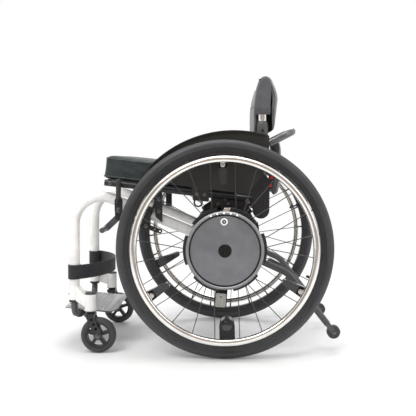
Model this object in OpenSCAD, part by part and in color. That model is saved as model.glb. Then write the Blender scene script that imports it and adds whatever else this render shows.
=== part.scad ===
// Active wheelchair carried by two power-assist drive wheels.
// X runs rearward, Y to the occupant's right and Z up, in millimetres.
// The origin is on the floor under the middle of the chair.

/* [Drive wheel] */
// Outer radius of the tyre
tyre_r = 300; // [290:1:312]
// Width of the tyre
tyre_w = 27; // [24:0.5:30]
// Radial height of the tyre above the rim's floor
tyre_h = 28; // [24:0.5:32]
// Radial depth of the rim below its floor
rim_depth = 10; // [8:0.5:12]
// Height of the rim's tyre flanges above its floor
flange_h = 7; // [5:0.5:9]
// Width of the rim
rim_w = 22; // [20:0.5:24]
// Thickness of a rim flange
flange_t = 3; // [2:0.5:4]
// Distance of the wheel plane outboard of the side guard
wheel_gap = 45; // [41:1:60]
// Resting turn of the left wheel
left_turn = 1.5; // [-20:0.5:20]
// Resting turn of the right wheel
right_turn = -4; // [-20:0.5:20]

/* [Spokes] */
// Diameter of a spoke
spoke_d = 2.4; // [2:0.1:3]
// Diameter of a spoke nipple
nipple_d = 5; // [4:0.5:6]
// Length of a spoke nipple
nipple_l = 14; // [8:1:18]
// Distance of a spoke's hub end from the wheel plane
spoke_splay = 10; // [4:1:14]

/* [Hub] */
// Radius of the hub shell
hub_r = 105; // [100:1:110]
// Radius of the spoke lobes on the hub
lobe_r = 115; // [112:1:120]
// Number of spoke lobes, with four spokes each
lobe_n = 6; // [5:1:7]
// Angle that a lobe spans
lobe_arc = 40; // [36:1:44]
// Width of a lobe along the axle
lobe_w = 38; // [34:1:44]
// Depth of the hub inboard of the wheel plane
hub_in = 44; // [42:0.5:46]
// Depth of the hub shell outboard of the wheel plane
hub_out = 36; // [34:0.5:38]
// Wall of the hub shell
hub_wall = 5; // [3.5:0.5:6]
// Radius of the grey hub cover
cover_r = 93.3; // [90:0.1:95]
// Height of the cover's dome
cover_rise = 9; // [6:0.5:11]
// Inner radius of the bright trim ring
trim_in_r = 98; // [96:0.5:99]
// Outer radius of the bright trim ring
trim_out_r = 106; // [105:0.5:108]
// Height of the trim ring
trim_h = 7; // [5:0.5:8]
// Radius of the push button in the hub's middle
button_r = 18; // [16:0.5:20]
// Travel of the push button
button_travel = 4; // [3:0.5:5]
// Radius of the charging socket
socket_r = 10; // [8.5:0.5:11]
// Bore radius of the charging socket
socket_bore_r = 5.5; // [4.5:0.5:6]
// Depth of the charging socket's bore
socket_depth = 9; // [7:0.5:10]
// Distance of the charging socket from the axle
socket_at_r = 78; // [74:1:80]
// Number of charge lights
led_n = 5; // [3:1:7]
// Radius of a charge light's window
led_r = 2.2; // [1.6:0.1:2.6]
// Angle between charge lights
led_pitch = 10.3; // [6:0.1:12]

/* [Motor and battery] */
// Radius of the axle pin
axle_r = 6.35; // [6:0.05:7]
// Outer radius of a hub bearing
bearing_r = 14; // [13:0.5:15]
// Width of a hub bearing
bearing_w = 8; // [7:0.5:9]
// Outer radius of the motor stator
stator_r = 60; // [54:1:64]
// Width of the motor stator
stator_w = 26; // [20:1:30]
// Number of stator teeth
stator_teeth = 18; // [12:3:24]
// Radius of a battery cell
cell_r = 9; // [8:0.2:9.4]
// Length of a battery cell
cell_l = 58; // [50:1:62]
// Number of battery cells in the hub
cell_n = 20; // [10:1:22]
// Distance of the battery cells from the axle
cell_at_r = 77; // [76:0.5:79]

/* [Handrim] */
// Distance of the handrim's centre line inside the rim
handrim_drop = 15; // [12:1:18]
// Radius of the handrim tube
handrim_tube_r = 9.5; // [8:0.5:10.5]
// Distance of the handrim from the wheel plane
handrim_out = 42; // [40:0.5:46]
// Play of the handrim each way
handrim_play = 1; // [0.5:0.1:1.5]
// Length of a handrim fin from the rim to the middle of its tip
fin_l = 76; // [70:1:82]
// Width of a fin at its tip
fin_tip_w = 17; // [14:1:20]
// Width of a fin at the rim
fin_base_w = 30; // [26:1:34]
// Outboard face of a fin, from the wheel plane
fin_top = 30; // [28:0.5:31]
// Inboard face of a fin, from the wheel plane
fin_low = 6; // [4:0.5:8]
// Number of handrim fins
fin_n = 3; // [3:2:5]
// Distance of a fin's guide screw inside the rim
guide_drop = 30; // [26:1:34]
// Radius of the guide screw's shank
guide_r = 3; // [2.5:0.5:4]
// Width of the sensor block opposite the charging socket
block_w = 42; // [36:1:46]
// Length of the sensor block inside the rim
block_l = 77; // [67:1:82]

/* [Frame] */
// Radius of the frame tube
frame_r = 15; // [13:0.5:16]
// Distance of the frame tubes inside the seat rails
tube_inset = 23; // [20:1:28]
// Distance of the front uprights ahead of the axle
front_x = 433; // [420:1:445]
// Height of the uprights' lower ends
front_low_z = 144; // [138:1:150]
// Centre-line radius of the frame bend
bend_r = 78; // [70:1:86]
// Height of the frame bend's centre above the axle
bend_rise = 61; // [52:1:68]
// Thickness of the castor arm
arm_t = 16; // [12:1:20]
// Height of the castor arm at the upright
arm_h = 50; // [40:1:54]
// Radius of the cross tube at the axle
axle_tube_r = 16; // [14:0.5:18]
// Distance of the cross tube's ends inside the wheel plane
receiver_gap = 55; // [50:1:60]
// Length of the axle pin inside its receiver
pin_insert = 60; // [50:1:70]

/* [Castors] */
// Distance of the castor stems ahead of the axle
castor_x = 381; // [374:1:388]
// Distance of the castor stems outboard of the frame tubes
castor_spread = 32; // [27:1:35]
// Outer radius of the castor housing
housing_r = 16; // [14:0.5:18]
// Height of the castor housing's lower end
housing_z = 118; // [114:1:122]
// Length of the castor housing
housing_h = 47; // [42:1:52]
// Radius of the castor stem
stem_r = 6; // [5:0.5:7]
// Radius of the castor wheel
castor_r = 50; // [46:1:52]
// Width of the castor wheel
castor_w = 26; // [22:1:30]
// Trail of the castor wheel behind its stem
castor_trail = 23; // [18:1:28]
// Radial thickness of the castor tyre
castor_tyre_t = 14; // [10:1:16]
// Number of spokes in the castor wheel
castor_spokes = 5; // [4:1:7]
// Thickness of a castor fork leg
leg_t = 5; // [4:0.5:6]

/* [Footrest] */
// Radius of the footrest tube
foot_r = 9.7; // [9:0.1:10.5]
// Bend radius of the footrest tube
foot_bend_r = 28; // [24:1:32]
// Height of the footrest's cross tube
foot_z = 100; // [96:1:106]
// Length of the footrest tube inside the upright
foot_insert = 90; // [60:1:110]
// Thickness of the footplate
plate_t = 4; // [3:0.5:5]
// Length of the flat part of the footplate
plate_l = 122; // [110:1:130]
// Reach of the footplate ahead of its tube
plate_lead = 34; // [28:1:38]
// Distance of the footplate's sides inside the frame tubes
plate_inset = 27; // [25:1:37]
// Tilt of the footplate
plate_tilt = 6; // [3:0.5:8]
// Radius of the heel lip
lip_r = 40; // [34:1:44]
// Angle of the heel lip
lip_arc = 75; // [60:1:80]

/* [Calf strap] */
// Height of the strap's lower edge
strap_z = 203; // [202:1:212]
// Width of the strap
strap_h = 41; // [30:1:46]
// Thickness of the strap
strap_t = 3; // [2:0.5:4]
// Sag of the strap behind the uprights
strap_sag = 78; // [60:1:90]

/* [Seat] */
// Radius of a seat rail
rail_r = 9; // [8:0.5:10]
// Distance of the seat rails inside the cushion's sides
rail_inset = 9; // [7:1:11]
// Distance of the rails' front ends ahead of the axle
rail_front_x = 340; // [330:1:348]
// Height of the rails' front ends above the axle
rail_rise = 180; // [176:1:186]
// Length of a seat rail beyond the cushion
rail_extra = 53; // [47:1:59]
// Tilt of the seat
seat_tilt = 6.7; // [5:0.1:8]
// Thickness of the seat sling
sling_t = 2.5; // [2:0.5:4]
// Length of the cushion
cushion_l = 385; // [370:1:390]
// Width of the cushion
cushion_w = 390; // [370:1:392]
// Height of the cushion at its edges
cushion_t = 64; // [54:1:70]
// Rise of the cushion's crown
cushion_crown = 4; // [2:1:8]
// Radius of the cushion's corners
cushion_corner = 22; // [16:1:30]

/* [Backrest] */
// Distance of the backrest hinge behind the cushion
back_gap = 63.6; // [59.6:0.1:67.6]
// Height of the backrest hinge above the axle
hinge_rise = 192; // [186:1:196]
// Radius of the hinge pin
hinge_r = 4; // [3:0.5:5]
// Radius of a back cane
cane_r = 10; // [9:0.5:11]
// Height of the canes' upper ends above the axle
cane_rise = 474; // [460:1:478]
// Lower edge of the back upholstery above the axle
back_low_rise = 152; // [146:1:170]
// Upper edge of the back upholstery above the axle
back_top_rise = 484; // [480:1:496]
// Reach of the back upholstery outside the canes' middle
sleeve_w = 17; // [15:1:20]
// Greatest half thickness of the back padding
back_pad = 34; // [28:1:36]
// Rearward belly of the back upholstery
back_belly = 18; // [8:1:24]
// Height above the axle at which the push bar leaves the canes
push_start = 283; // [272:1:300]
// Reach of the push bar behind the canes
push_reach = 87; // [80:1:100]
// Rise angle of the push bar
push_rise = 26.6; // [20:0.1:32]
// Bend radius of the push bar
push_bend_r = 45; // [35:1:60]

/* [Side guard] */
// Distance of the side guards outside the cushion
guard_gap = 20; // [17:1:25]
// Thickness of a side guard
guard_t = 3; // [2:0.5:4]
// Reach of the guard's upper edge above the tyre
guard_over = 28; // [22:1:34]
// Distance behind the axle of the guard arc's centre
guard_x = 25; // [20:1:30]
// Width of the guard's rolled lip
lip_w = 10; // [6:1:14]

/* [Anti-tip device] */
// Radius of the anti-tip tube
tip_r = 9.5; // [8.5:0.5:10.5]
// Distance of the anti-tip tube's bend behind the axle
tip_bend_x = 180; // [170:1:190]
// Height of the anti-tip tube's bend
tip_bend_z = 219; // [210:1:226]
// Distance of the roller behind the axle
roller_x = 311; // [300:1:320]
// Height of the roller's centre
roller_z = 51; // [46:1:60]
// Radius of the roller
roller_r = 19; // [16:1:22]
// Width of the roller
roller_w = 18; // [14:1:22]
// Length of the anti-tip tube's socket
tip_socket_l = 46; // [40:1:60]

/* [Wheel lock] */
// Distance of the shoe's pivot outside the tyre
lock_gap = 11.8; // [9:0.2:15]
// Direction of the shoe's pivot from the axle
lock_angle = 164.2; // [162:0.1:166]
// Height of the lever's pivot above the shoe's
lever_rise = 18; // [15:1:21]
// Length of the shoe's arm
shoe_arm = 48; // [47:0.2:49]
// Resting direction of the shoe's arm
shoe_rest = 223.3; // [220:0.1:226]
// Radius of the shoe's peg
peg_r = 7.3; // [6:0.1:7.4]
// Length of the lever above its pivot
lever_l = 86; // [70:1:92]
// Thickness of the lock's plates
lock_t = 5; // [4:0.5:5.5]

/* [Hidden] */
$fn = 64;
LEFT = -1;
RIGHT = 1;
// Gap where two fixed pieces sit face to face
seat_gap = 0.1;
// Radial clearance of a running fit
run_gap = 0.06;
// Clearance between pieces that pass each other
pass_gap = 0.5;
// Overshoot of a cut past the face it opens
cut = 1;
// Length of a tube's straight leg inside its bend, and the leg's step below the bend's surface
bend_lap = 0.5;
bend_step = 0.2;
axle_z = tyre_r;
// Heights that follow the axle
rail_front_z = axle_z + rail_rise;
hinge_z = axle_z + hinge_rise;
cane_top_z = axle_z + cane_rise;
back_low_z = axle_z + back_low_rise;
back_top_z = axle_z + back_top_rise;
push_z = axle_z + push_start;
// Radii of the rim and of what it carries
rim_floor_r = tyre_r - tyre_h;
rim_in_r = rim_floor_r - rim_depth;
rim_flange_r = rim_floor_r + flange_h;
handrim_r = rim_in_r - handrim_drop;
fin_tip_r = rim_in_r - fin_l;
fin_screw_r = rim_in_r - guide_drop;
block_in_r = rim_in_r - block_l;
// Layers of the chair from its middle outwards
rail_y = cushion_w / 2 - rail_inset;
tube_y = rail_y - tube_inset;
castor_y = tube_y + castor_spread;
plate_hw = tube_y - plate_inset;
back_hw = rail_y + sleeve_w;
guard_y = cushion_w / 2 + guard_gap;
wheel_y = guard_y + wheel_gap;
axle_tube_y = wheel_y - receiver_gap;
// Lengths that follow the cushion
rail_l = cushion_l + rail_extra;
hinge_x = -rail_front_x + cushion_l * cos(seat_tilt) + back_gap;
guard_r = tyre_r + guard_over;
// Turn that centres the frame slope on the axle, and the slope itself
bend_x = front_x - bend_r;
bend_z = axle_z + bend_rise;
slope = atan2(bend_rise, bend_x) + asin(bend_r / norm([bend_x, bend_rise]));
bend_end = [-bend_x + bend_r * sin(slope), bend_z + bend_r * cos(slope)];
slope_l = norm(bend_end - [0, axle_z]);
// Seat plane: a point on the rails' centre line, u along the rail and v above it
seat_dir = [cos(seat_tilt), -sin(seat_tilt)];
function on_seat(u, v) = [-rail_front_x + u * seat_dir.x - v * seat_dir.y,
    rail_front_z + u * seat_dir.y + v * seat_dir.x];
function seat_u(x) = (x + rail_front_x) / seat_dir.x;
// Middle of the chair between the footplate's front edge and the anti-tip rollers
plate_front_x = -front_x + (foot_r + seat_gap) * sin(plate_tilt) - plate_lead * cos(plate_tilt);
axle_x = -(plate_front_x + roller_x + roller_r) / 2;
// Wheel layers along the axle, from the wheel plane outwards
cover_z = hub_out + seat_gap;
button_low = cover_z - 8;
tab_z = fin_top + seat_gap;
tab_t = handrim_out - handrim_tube_r + 2 - tab_z;
guide_swing = fin_screw_r * sin(handrim_play);
tab_hw = guide_swing + guide_r + 4.5;
cell_floor_t = 3;
axle_inner_y = axle_tube_y - pin_insert;
// Radius of the push bar, and its length along its rise
push_r = cane_r - 1;
push_l = push_reach / cos(push_rise);
// Direction and length of the anti-tip tube's upper leg
tip_drop = atan2(axle_z - tip_bend_z, tip_bend_x);
tip_dir = [cos(tip_drop), -sin(tip_drop)];
tip_leg = norm([roller_x - tip_bend_x, roller_z - tip_bend_z]);
tip_leg_dir = [roller_x - tip_bend_x, roller_z - tip_bend_z] / tip_leg;
// Layers of the wheel lock, outboard of the frame tube
lock_in_y = rail_y + rail_r + 1.5;
lever_in_y = lock_in_y + lock_t + pass_gap;
// Radii of the castor's axle bolt and the anti-tip roller's pin
castor_bolt_r = 4;
roller_pin_r = 3;

// Straight round bar between two points
module rod(p, q, r) {
    d = q - p;
    translate(p)
        rotate([0, acos(d.z / norm(d)), atan2(d.y, d.x)])
            cylinder(r = r, h = norm(d));
}

// Tube bent through an angle about the origin, with a straight leg at each end of the bend
module bent_tube(r, bend, turn, leg_a, leg_b) {
    rotate_extrude(angle = turn)
        translate([bend, 0])
            circle(r);
    translate([bend, bend_lap, 0])
        rotate([90, 0, 0])
            cylinder(r = r - bend_step, h = leg_a + bend_lap);
    rotate(turn)
        translate([bend, -bend_lap, 0])
            rotate([-90, 0, 0])
                cylinder(r = r - bend_step, h = leg_b + bend_lap);
}

// Plate in side view, from y_in outboard over the thickness t on the left of the chair
module side_plate(y_in, t) {
    translate([0, -y_in, 0])
        rotate([90, 0, 0])
            linear_extrude(t)
                children();
}

// Flat bar with round ends between two points of a drawing
module stadium(p, q, r) {
    d = q - p;
    translate(p)
        circle(r);
    translate(q)
        circle(r);
    translate(p)
        rotate(atan2(d.y, d.x))
            translate([0, -r])
                square([norm(d), 2 * r]);
}

// Places what is drawn from the axle, for the left side, on either side of the chair
module chair(side = LEFT) {
    translate([axle_x, 0, 0])
        mirror([0, side == RIGHT ? 1 : 0, 0])
            children();
}

// Places what is drawn flat in the wheel plane, outboard up, on a drive axle
module wheel(side) {
    chair(side)
        translate([0, -wheel_y, axle_z])
            rotate([90, 0, 0])
                rotate(side == LEFT ? left_turn : right_turn)
                    children();
}

module ring(r_out, r_in, z, h) {
    translate([0, 0, z])
        difference() {
            cylinder(r = r_out, h = h);
            translate([0, 0, -cut])
                cylinder(r = r_in, h = h + 2 * cut);
        }
}

// Half section of the rim: a floor between two tyre flanges
module rim_section() {
    translate([rim_in_r, -rim_w / 2 + flange_t / 2])
        square([rim_floor_r - rim_in_r, rim_w - flange_t]);
    for (s = [-1, 1])
        translate([rim_floor_r - flange_t, s * (rim_w - flange_t) / 2 - flange_t / 2])
            square([rim_flange_r - rim_floor_r + flange_t, flange_t]);
}

// Tyre with its bead between the flanges and three tread grooves
module tyre(side) {
    section_r = tyre_w / 2;
    bead_hw = rim_w / 2 - flange_t - seat_gap;
    groove_w = 1.6;
    groove_d = 1.2;
    groove_pitch = 6;
    color("#262728")
        wheel(side)
            rotate_extrude($fn = 180)
                difference() {
                    union() {
                        translate([tyre_r - section_r, 0])
                            circle(section_r);
                        translate([rim_floor_r + seat_gap, -bead_hw])
                            square([tyre_r - section_r - rim_floor_r, 2 * bead_hw]);
                    }
                    for (s = [-1, 1])
                        translate([rim_in_r, s > 0 ? bead_hw : -bead_hw - section_r])
                            square([rim_flange_r + seat_gap - rim_in_r, section_r]);
                    translate([rim_in_r, -bead_hw])
                        square([rim_floor_r + seat_gap - rim_in_r, 2 * bead_hw]);
                    for (k = [-1:1])
                        let (crest = sqrt(pow(section_r, 2) - pow(k * groove_pitch, 2)))
                            translate([tyre_r - section_r + crest - groove_d, k * groove_pitch - groove_w / 2])
                                square([3 * groove_d, groove_w]);
                }
}

module rim(side) {
    color("#1b1c1d")
        wheel(side)
            rotate_extrude($fn = 180)
                rim_section();
}

// Angles of a spoke's rim end and hub end beside the middle of its lobe
rim_spread = [-22.5, -7.5, 7.5, 22.5];
hub_spread = [-13, -1.5, 1.5, 13];
function polar(r, a, z) = [r * cos(a), r * sin(a), z];

module spokes(side) {
    lobe_seat = 2;
    color("#202122")
        wheel(side)
            for (k = [0:lobe_n - 1])
                for (j = [0:3]) {
                    mid = k * 360 / lobe_n;
                    z = (j % 2 == 0 ? 1 : -1) * spoke_splay;
                    hub_end = polar(lobe_r - lobe_seat, mid + hub_spread[j], z);
                    rim_end = polar(rim_in_r + seat_gap, mid + rim_spread[j], 0);
                    inward = (hub_end - rim_end) / norm(hub_end - rim_end);
                    rod(hub_end, rim_end, spoke_d / 2);
                    rod(rim_end + inward * nipple_l, rim_end, nipple_d / 2);
                }
}

// Hub shell: an open cup with six spoke lobes and a bearing boss
module hub_shell(side) {
    boss_r = bearing_r + hub_wall;
    lip_r_in = cover_r - 5;
    color("#18191a")
        wheel(side)
            difference() {
                union() {
                    translate([0, 0, -hub_in])
                        cylinder(r = hub_r, h = hub_in + hub_out, $fn = 128);
                    for (k = [0:lobe_n - 1])
                        rotate(k * 360 / lobe_n - lobe_arc / 2)
                            rotate_extrude(angle = lobe_arc, $fn = 128)
                                translate([hub_r - hub_wall, -lobe_w / 2])
                                    square([lobe_r - hub_r + hub_wall, lobe_w]);
                }
                difference() {
                    translate([0, 0, -hub_in + hub_wall])
                        cylinder(r = lip_r_in, h = hub_in + hub_out, $fn = 128);
                    translate([0, 0, -hub_in])
                        cylinder(r = boss_r, h = hub_wall + bearing_w + 2);
                }
                translate([0, 0, -hub_in + hub_wall])
                    cylinder(r = bearing_r + seat_gap / 2, h = hub_in);
                translate([0, 0, -hub_in - cut])
                    cylinder(r = bearing_r - 3, h = hub_in);
            }
}

// Half section of the domed cover with the boss for the outer bearing
module cover_section() {
    steps = 8;
    skirt = 3;
    boss_r = button_r + 5;
    bore = button_r + pass_gap / 2;
    polygon(concat(
        [[bore, cover_z], [cover_r, cover_z], [cover_r, cover_z + skirt]],
        [for (k = [1:steps]) let(f = 1 - k / steps, x = bore + (cover_r - bore) * f)
            [x, cover_z + skirt + (cover_rise - skirt) * (1 - pow(x / cover_r, 2))]]));
    translate([bore, button_low - button_travel - 4])
        square([boss_r - bore, cover_z - button_low + button_travel + 5]);
    translate([bearing_r + seat_gap / 2, button_low - button_travel - 6 - bearing_w])
        square([boss_r - bearing_r - seat_gap / 2, bearing_w + 3]);
    translate([bearing_r - 3, button_low - button_travel - 4])
        square([boss_r - bearing_r + 3, 2]);
}
outer_bearing_z = button_low - button_travel - 4 - bearing_w;

module hub_cover(side) {
    color("#77797d")
        wheel(side)
            difference() {
                rotate_extrude($fn = 128)
                    cover_section();
                rotate(90)
                    translate([socket_at_r, 0, 0])
                        cylinder(r = socket_r + seat_gap, h = hub_out + cover_rise + cut);
            }
}

// Bevelled bright ring with a row of light windows at the top
module trim_ring(side) {
    bevel = 2;
    led_at_r = (trim_in_r + trim_out_r) / 2 - bevel / 2;
    color("#c9cbce")
        wheel(side)
            difference() {
                rotate_extrude($fn = 128)
                    translate([0, cover_z])
                        polygon([[trim_in_r, 0], [trim_out_r, 0], [trim_out_r, trim_h - 2 * bevel],
                            [trim_out_r - 2 * bevel, trim_h], [trim_in_r + bevel / 2, trim_h],
                            [trim_in_r, trim_h - bevel / 2]]);
                for (k = [0:led_n - 1])
                    rotate(90 + (k - (led_n - 1) / 2) * led_pitch)
                        translate([led_at_r, 0, cover_z + trim_h / 2])
                            cylinder(r = led_r, h = trim_h);
            }
}

// Charging socket with a collar on the cover and a blind bore for the plug
module charge_socket(side) {
    collar_h = 1.5;
    body_low = cover_z - 6;
    face = cover_z + 3 + (cover_rise - 3) * (1 - pow((socket_at_r - socket_r) / cover_r, 2));
    color("#b9bbbe")
        wheel(side)
            rotate(90)
                translate([socket_at_r, 0, 0])
                    difference() {
                        translate([0, 0, body_low])
                            cylinder(r = socket_r, h = face + collar_h - body_low);
                        translate([0, 0, face + collar_h - socket_depth])
                            cylinder(r = socket_bore_r, h = socket_depth + cut);
                    }
}

// Push button that frees the wheel from its axle
module axle_button(side) {
    face_z = cover_z + cover_rise + 1;
    rim_bevel = 1.5;
    color("#141516")
        wheel(side)
            rotate_extrude()
                polygon([[0, button_low], [button_r, button_low], [button_r, face_z - rim_bevel],
                    [button_r - rim_bevel, face_z], [0, face_z]]);
}

// The two ring bearings that the hub turns on
module hub_bearings(side) {
    groove = 1;
    color("#a9adb1")
        wheel(side)
            for (z = [-hub_in + hub_wall + seat_gap, outer_bearing_z - seat_gap])
                translate([0, 0, z])
                    rotate_extrude()
                        difference() {
                            translate([axle_r + run_gap, 0])
                                square([bearing_r - axle_r - run_gap, bearing_w]);
                            for (face = [-cut, bearing_w - groove])
                                translate([(axle_r + bearing_r) / 2 - 1.5, face])
                                    square([3, groove + cut]);
                        }
}

// Quick-release axle pin, from the receiver in the frame to inside the hub cover
module axle_pin(side) {
    head_z = outer_bearing_z + bearing_w + 0.5;
    nose = 3;
    color("#c4c7ca")
        chair(side)
            translate([0, -wheel_y, axle_z])
                rotate([90, 0, 0])
                    rotate_extrude()
                        polygon([[0, axle_inner_y - wheel_y], [axle_r - nose, axle_inner_y - wheel_y],
                            [axle_r, axle_inner_y - wheel_y + nose], [axle_r, head_z], [0, head_z]]);
}

// Toothed motor stator held on the axle pin
module stator(side) {
    stator_z = -hub_in + hub_wall + bearing_w + 6;
    core_r = stator_r - 18;
    tooth_w = 2 * PI * core_r / stator_teeth * 0.5;
    color("#8a5a2b")
        chair(side)
            translate([0, -wheel_y, axle_z])
                rotate([90, 0, 0]) {
                    ring(core_r, core_r - 8, stator_z, stator_w);
                    ring(core_r - 7, axle_r + seat_gap / 2, stator_z, 6);
                    ring(axle_r + 6, axle_r + seat_gap / 2, stator_z, stator_w);
                    for (k = [0:stator_teeth - 1])
                        rotate(k * 360 / stator_teeth)
                            translate([core_r - 2, -tooth_w / 2, stator_z])
                                cube([stator_r - core_r, tooth_w, stator_w]);
                    ring(stator_r, stator_r - 4, stator_z + 2, stator_w - 4);
                }
}

// Ring of battery cells standing on a carrier inside the hub
module battery_pack(side) {
    floor_z = -hub_in + hub_wall + seat_gap;
    edge = 2;
    color("#2f5f8a")
        wheel(side) {
            ring(cell_at_r + cell_r - edge, cell_at_r - cell_r + edge, floor_z, cell_floor_t);
            for (k = [0:cell_n - 1])
                rotate((k + 0.5) * 360 / cell_n)
                    translate([cell_at_r, 0, floor_z])
                        cylinder(r = cell_r, h = cell_floor_t + cell_l, $fn = 32);
        }
}

// Bright hand ring with a slotted tab over each fin
module handrim(side) {
    color("#d9dbdd")
        wheel(side) {
            rotate_extrude($fn = 180)
                translate([handrim_r, handrim_out])
                    circle(handrim_tube_r);
            for (k = [0:fin_n - 1])
                rotate(90 + k * 360 / fin_n)
                    translate([0, 0, tab_z])
                        linear_extrude(tab_t)
                            difference() {
                                translate([fin_screw_r - guide_r - 5, -tab_hw])
                                    square([handrim_r - fin_screw_r + guide_r + 5, 2 * tab_hw]);
                                stadium([fin_screw_r, -guide_swing], [fin_screw_r, guide_swing],
                                    guide_r + pass_gap);
                            }
        }
}

// Tapered fin outline from its rounded tip to the rim
module fin_outline() {
    tip = fin_tip_w / 2;
    base = fin_base_w / 2;
    root = 20;
    intersection() {
        union() {
            translate([fin_tip_r, 0])
                circle(tip);
            polygon([[fin_tip_r, -tip], [rim_in_r - root, -base], [rim_in_r, -base],
                [rim_in_r, base], [rim_in_r - root, base], [fin_tip_r, tip]]);
        }
        circle(rim_in_r - seat_gap, $fn = 180);
    }
}

// Fins that carry the handrim, each with its guide screw
module handrim_fins(side) {
    head_h = 2.5;
    head_r = guide_r + 3.5;
    head_z = tab_z + tab_t + seat_gap;
    color("#161718")
        wheel(side)
            for (k = [0:fin_n - 1])
                rotate(90 + k * 360 / fin_n) {
                    translate([0, 0, fin_low])
                        linear_extrude(fin_top - fin_low)
                            fin_outline();
                    translate([fin_screw_r, 0, fin_top - cut])
                        cylinder(r = guide_r, h = head_z - fin_top + 2 * cut);
                    translate([fin_screw_r, 0, head_z])
                        cylinder(r = head_r, h = head_h);
                }
}

// Block that reads the handrim's position, clamped to the rim by a steel plate
module sensor_block(side) {
    end_r = block_w / 2;
    plate_z = -rim_w / 2 + 3;
    color("#101112")
        wheel(side)
            rotate(270)
                difference() {
                    translate([0, 0, plate_z])
                        linear_extrude(fin_top - plate_z)
                            intersection() {
                                union() {
                                    translate([block_in_r + end_r, 0])
                                        circle(end_r);
                                    translate([block_in_r + end_r, -end_r])
                                        square([rim_in_r - block_in_r - end_r, block_w]);
                                }
                                circle(rim_in_r - seat_gap, $fn = 180);
                            }
                    translate([block_in_r + end_r, 0, fin_top - 3])
                        cylinder(r = end_r - 7, h = 3 + cut);
                }
}

// White side frame: upright, bend and slope in one tube, with the castor arm and housing
module side_frame(side) {
    arm = [front_x - castor_x, tube_y - castor_y];
    arm_low = front_low_z + 2;
    housing_edge = 5;
    arm_top = housing_z + housing_h - housing_edge;
    color("#f2f2f0")
        chair(side)
            difference() {
                union() {
                    translate([-bend_x, -tube_y, bend_z])
                        rotate([90, 0, 0])
                            rotate(90 - slope)
                                bent_tube(frame_r, bend_r, 90 + slope, slope_l, bend_z - front_low_z);
                    translate([-front_x, -tube_y, 0])
                        rotate(atan2(arm.y, arm.x))
                            rotate([90, 0, 0])
                                translate([0, 0, -arm_t / 2])
                                    linear_extrude(arm_t)
                                        polygon([[0, arm_low], [norm(arm), housing_z + housing_edge],
                                            [norm(arm), arm_top], [norm(arm) - housing_r - cut, arm_top],
                                            [0, arm_low + arm_h]]);
                    translate([-castor_x, -castor_y, housing_z])
                        cylinder(r = housing_r, h = housing_h);
                }
                translate([-front_x, -tube_y, front_low_z - cut])
                    cylinder(r = foot_r + seat_gap, h = foot_insert + 2 * cut);
                translate([-castor_x, -castor_y, housing_z - cut])
                    cylinder(r = stem_r + run_gap, h = housing_h - housing_edge + cut);
                translate([0, -tube_y + 2 * frame_r, axle_z])
                    rotate([90, 0, 0])
                        cylinder(r = axle_tube_r + seat_gap, h = 4 * frame_r);
            }
}

// Caps on top of the two castor housings
module castor_caps() {
    cap_h = 4;
    color("#1a1a1a")
        for (side = [LEFT, RIGHT])
            chair(side)
                translate([-castor_x, -castor_y, housing_z + housing_h + seat_gap])
                    cylinder(r1 = housing_r + 0.5, r2 = housing_r - 2, h = cap_h);
}

// Castor fork: stem, crown and two drilled legs with the wheel's axle
module castor_fork(side) {
    crown_low = 2 * castor_r + 4;
    crown_top = housing_z - pass_gap;
    stem_top = housing_z + housing_h - 6;
    crown_hw = 14;
    crown_r = 12;
    leg_gap = 2;
    foot_end_r = 11;
    foot_hw = 9.5;
    bridge_h = 7;
    bridge_lap = 4;
    leg_hw = 12.5;
    leg_proud = 0.5;
    leg_in = castor_w / 2 + leg_gap;
    hole_r = 3.8;
    hole_top = [castor_trail * 0.25, crown_low - castor_r - 8];
    hole_low = [castor_trail * 0.8, 20];
    color("#1b1c1d")
        chair(side)
            translate([-castor_x, -castor_y, 0]) {
                rotate_extrude()
                    polygon([[0, crown_low + bridge_lap], [crown_r, crown_low + bridge_lap],
                        [crown_r, crown_top], [stem_r, crown_top], [stem_r, stem_top], [0, stem_top]]);
                translate([-crown_hw, -leg_in - leg_t + leg_proud, crown_low])
                    cube([2 * crown_hw, 2 * (leg_in + leg_t - leg_proud), bridge_h]);
                for (y_in = [leg_in, -leg_in - leg_t])
                    side_plate(y_in, leg_t)
                        translate([0, castor_r])
                            difference() {
                                union() {
                                    polygon([[-leg_hw, crown_low + bridge_lap - castor_r],
                                        [castor_trail - foot_hw, 0], [castor_trail + foot_hw, 0],
                                        [leg_hw, crown_low + bridge_lap - castor_r]]);
                                    translate([castor_trail, 0])
                                        circle(foot_end_r);
                                }
                                for (f = [0, 0.5, 1])
                                    translate(hole_low + (hole_top - hole_low) * f)
                                        circle(hole_r);
                            }
                translate([castor_trail, leg_in + leg_t / 2, castor_r])
                    rotate([90, 0, 0])
                        cylinder(r = castor_bolt_r, h = 2 * leg_in + leg_t);
            }
}

// Places what is drawn flat, axis up, on a castor's axle
module castor_axle(side) {
    chair(side)
        translate([-castor_x + castor_trail, -castor_y, castor_r])
            rotate([90, 0, 0])
                children();
}

// Spoked castor wheel
module castor_wheel(side) {
    boss_r = 10;
    rim_out = castor_r - castor_tyre_t;
    rim_wall = 5;
    spoke_w = 9;
    color("#141515")
        castor_axle(side) {
            ring(boss_r, castor_bolt_r + run_gap, -castor_w / 2 - 1, castor_w + 2);
            ring(rim_out, rim_out - rim_wall, -castor_w / 2 + 2, castor_w - 4);
            for (k = [0:castor_spokes - 1])
                rotate(90 + k * 360 / castor_spokes)
                    translate([boss_r - 1, -spoke_w / 2, -castor_w / 2 + 5])
                        cube([rim_out - rim_wall - boss_r + 2, spoke_w, castor_w - 10]);
        }
}

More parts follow.
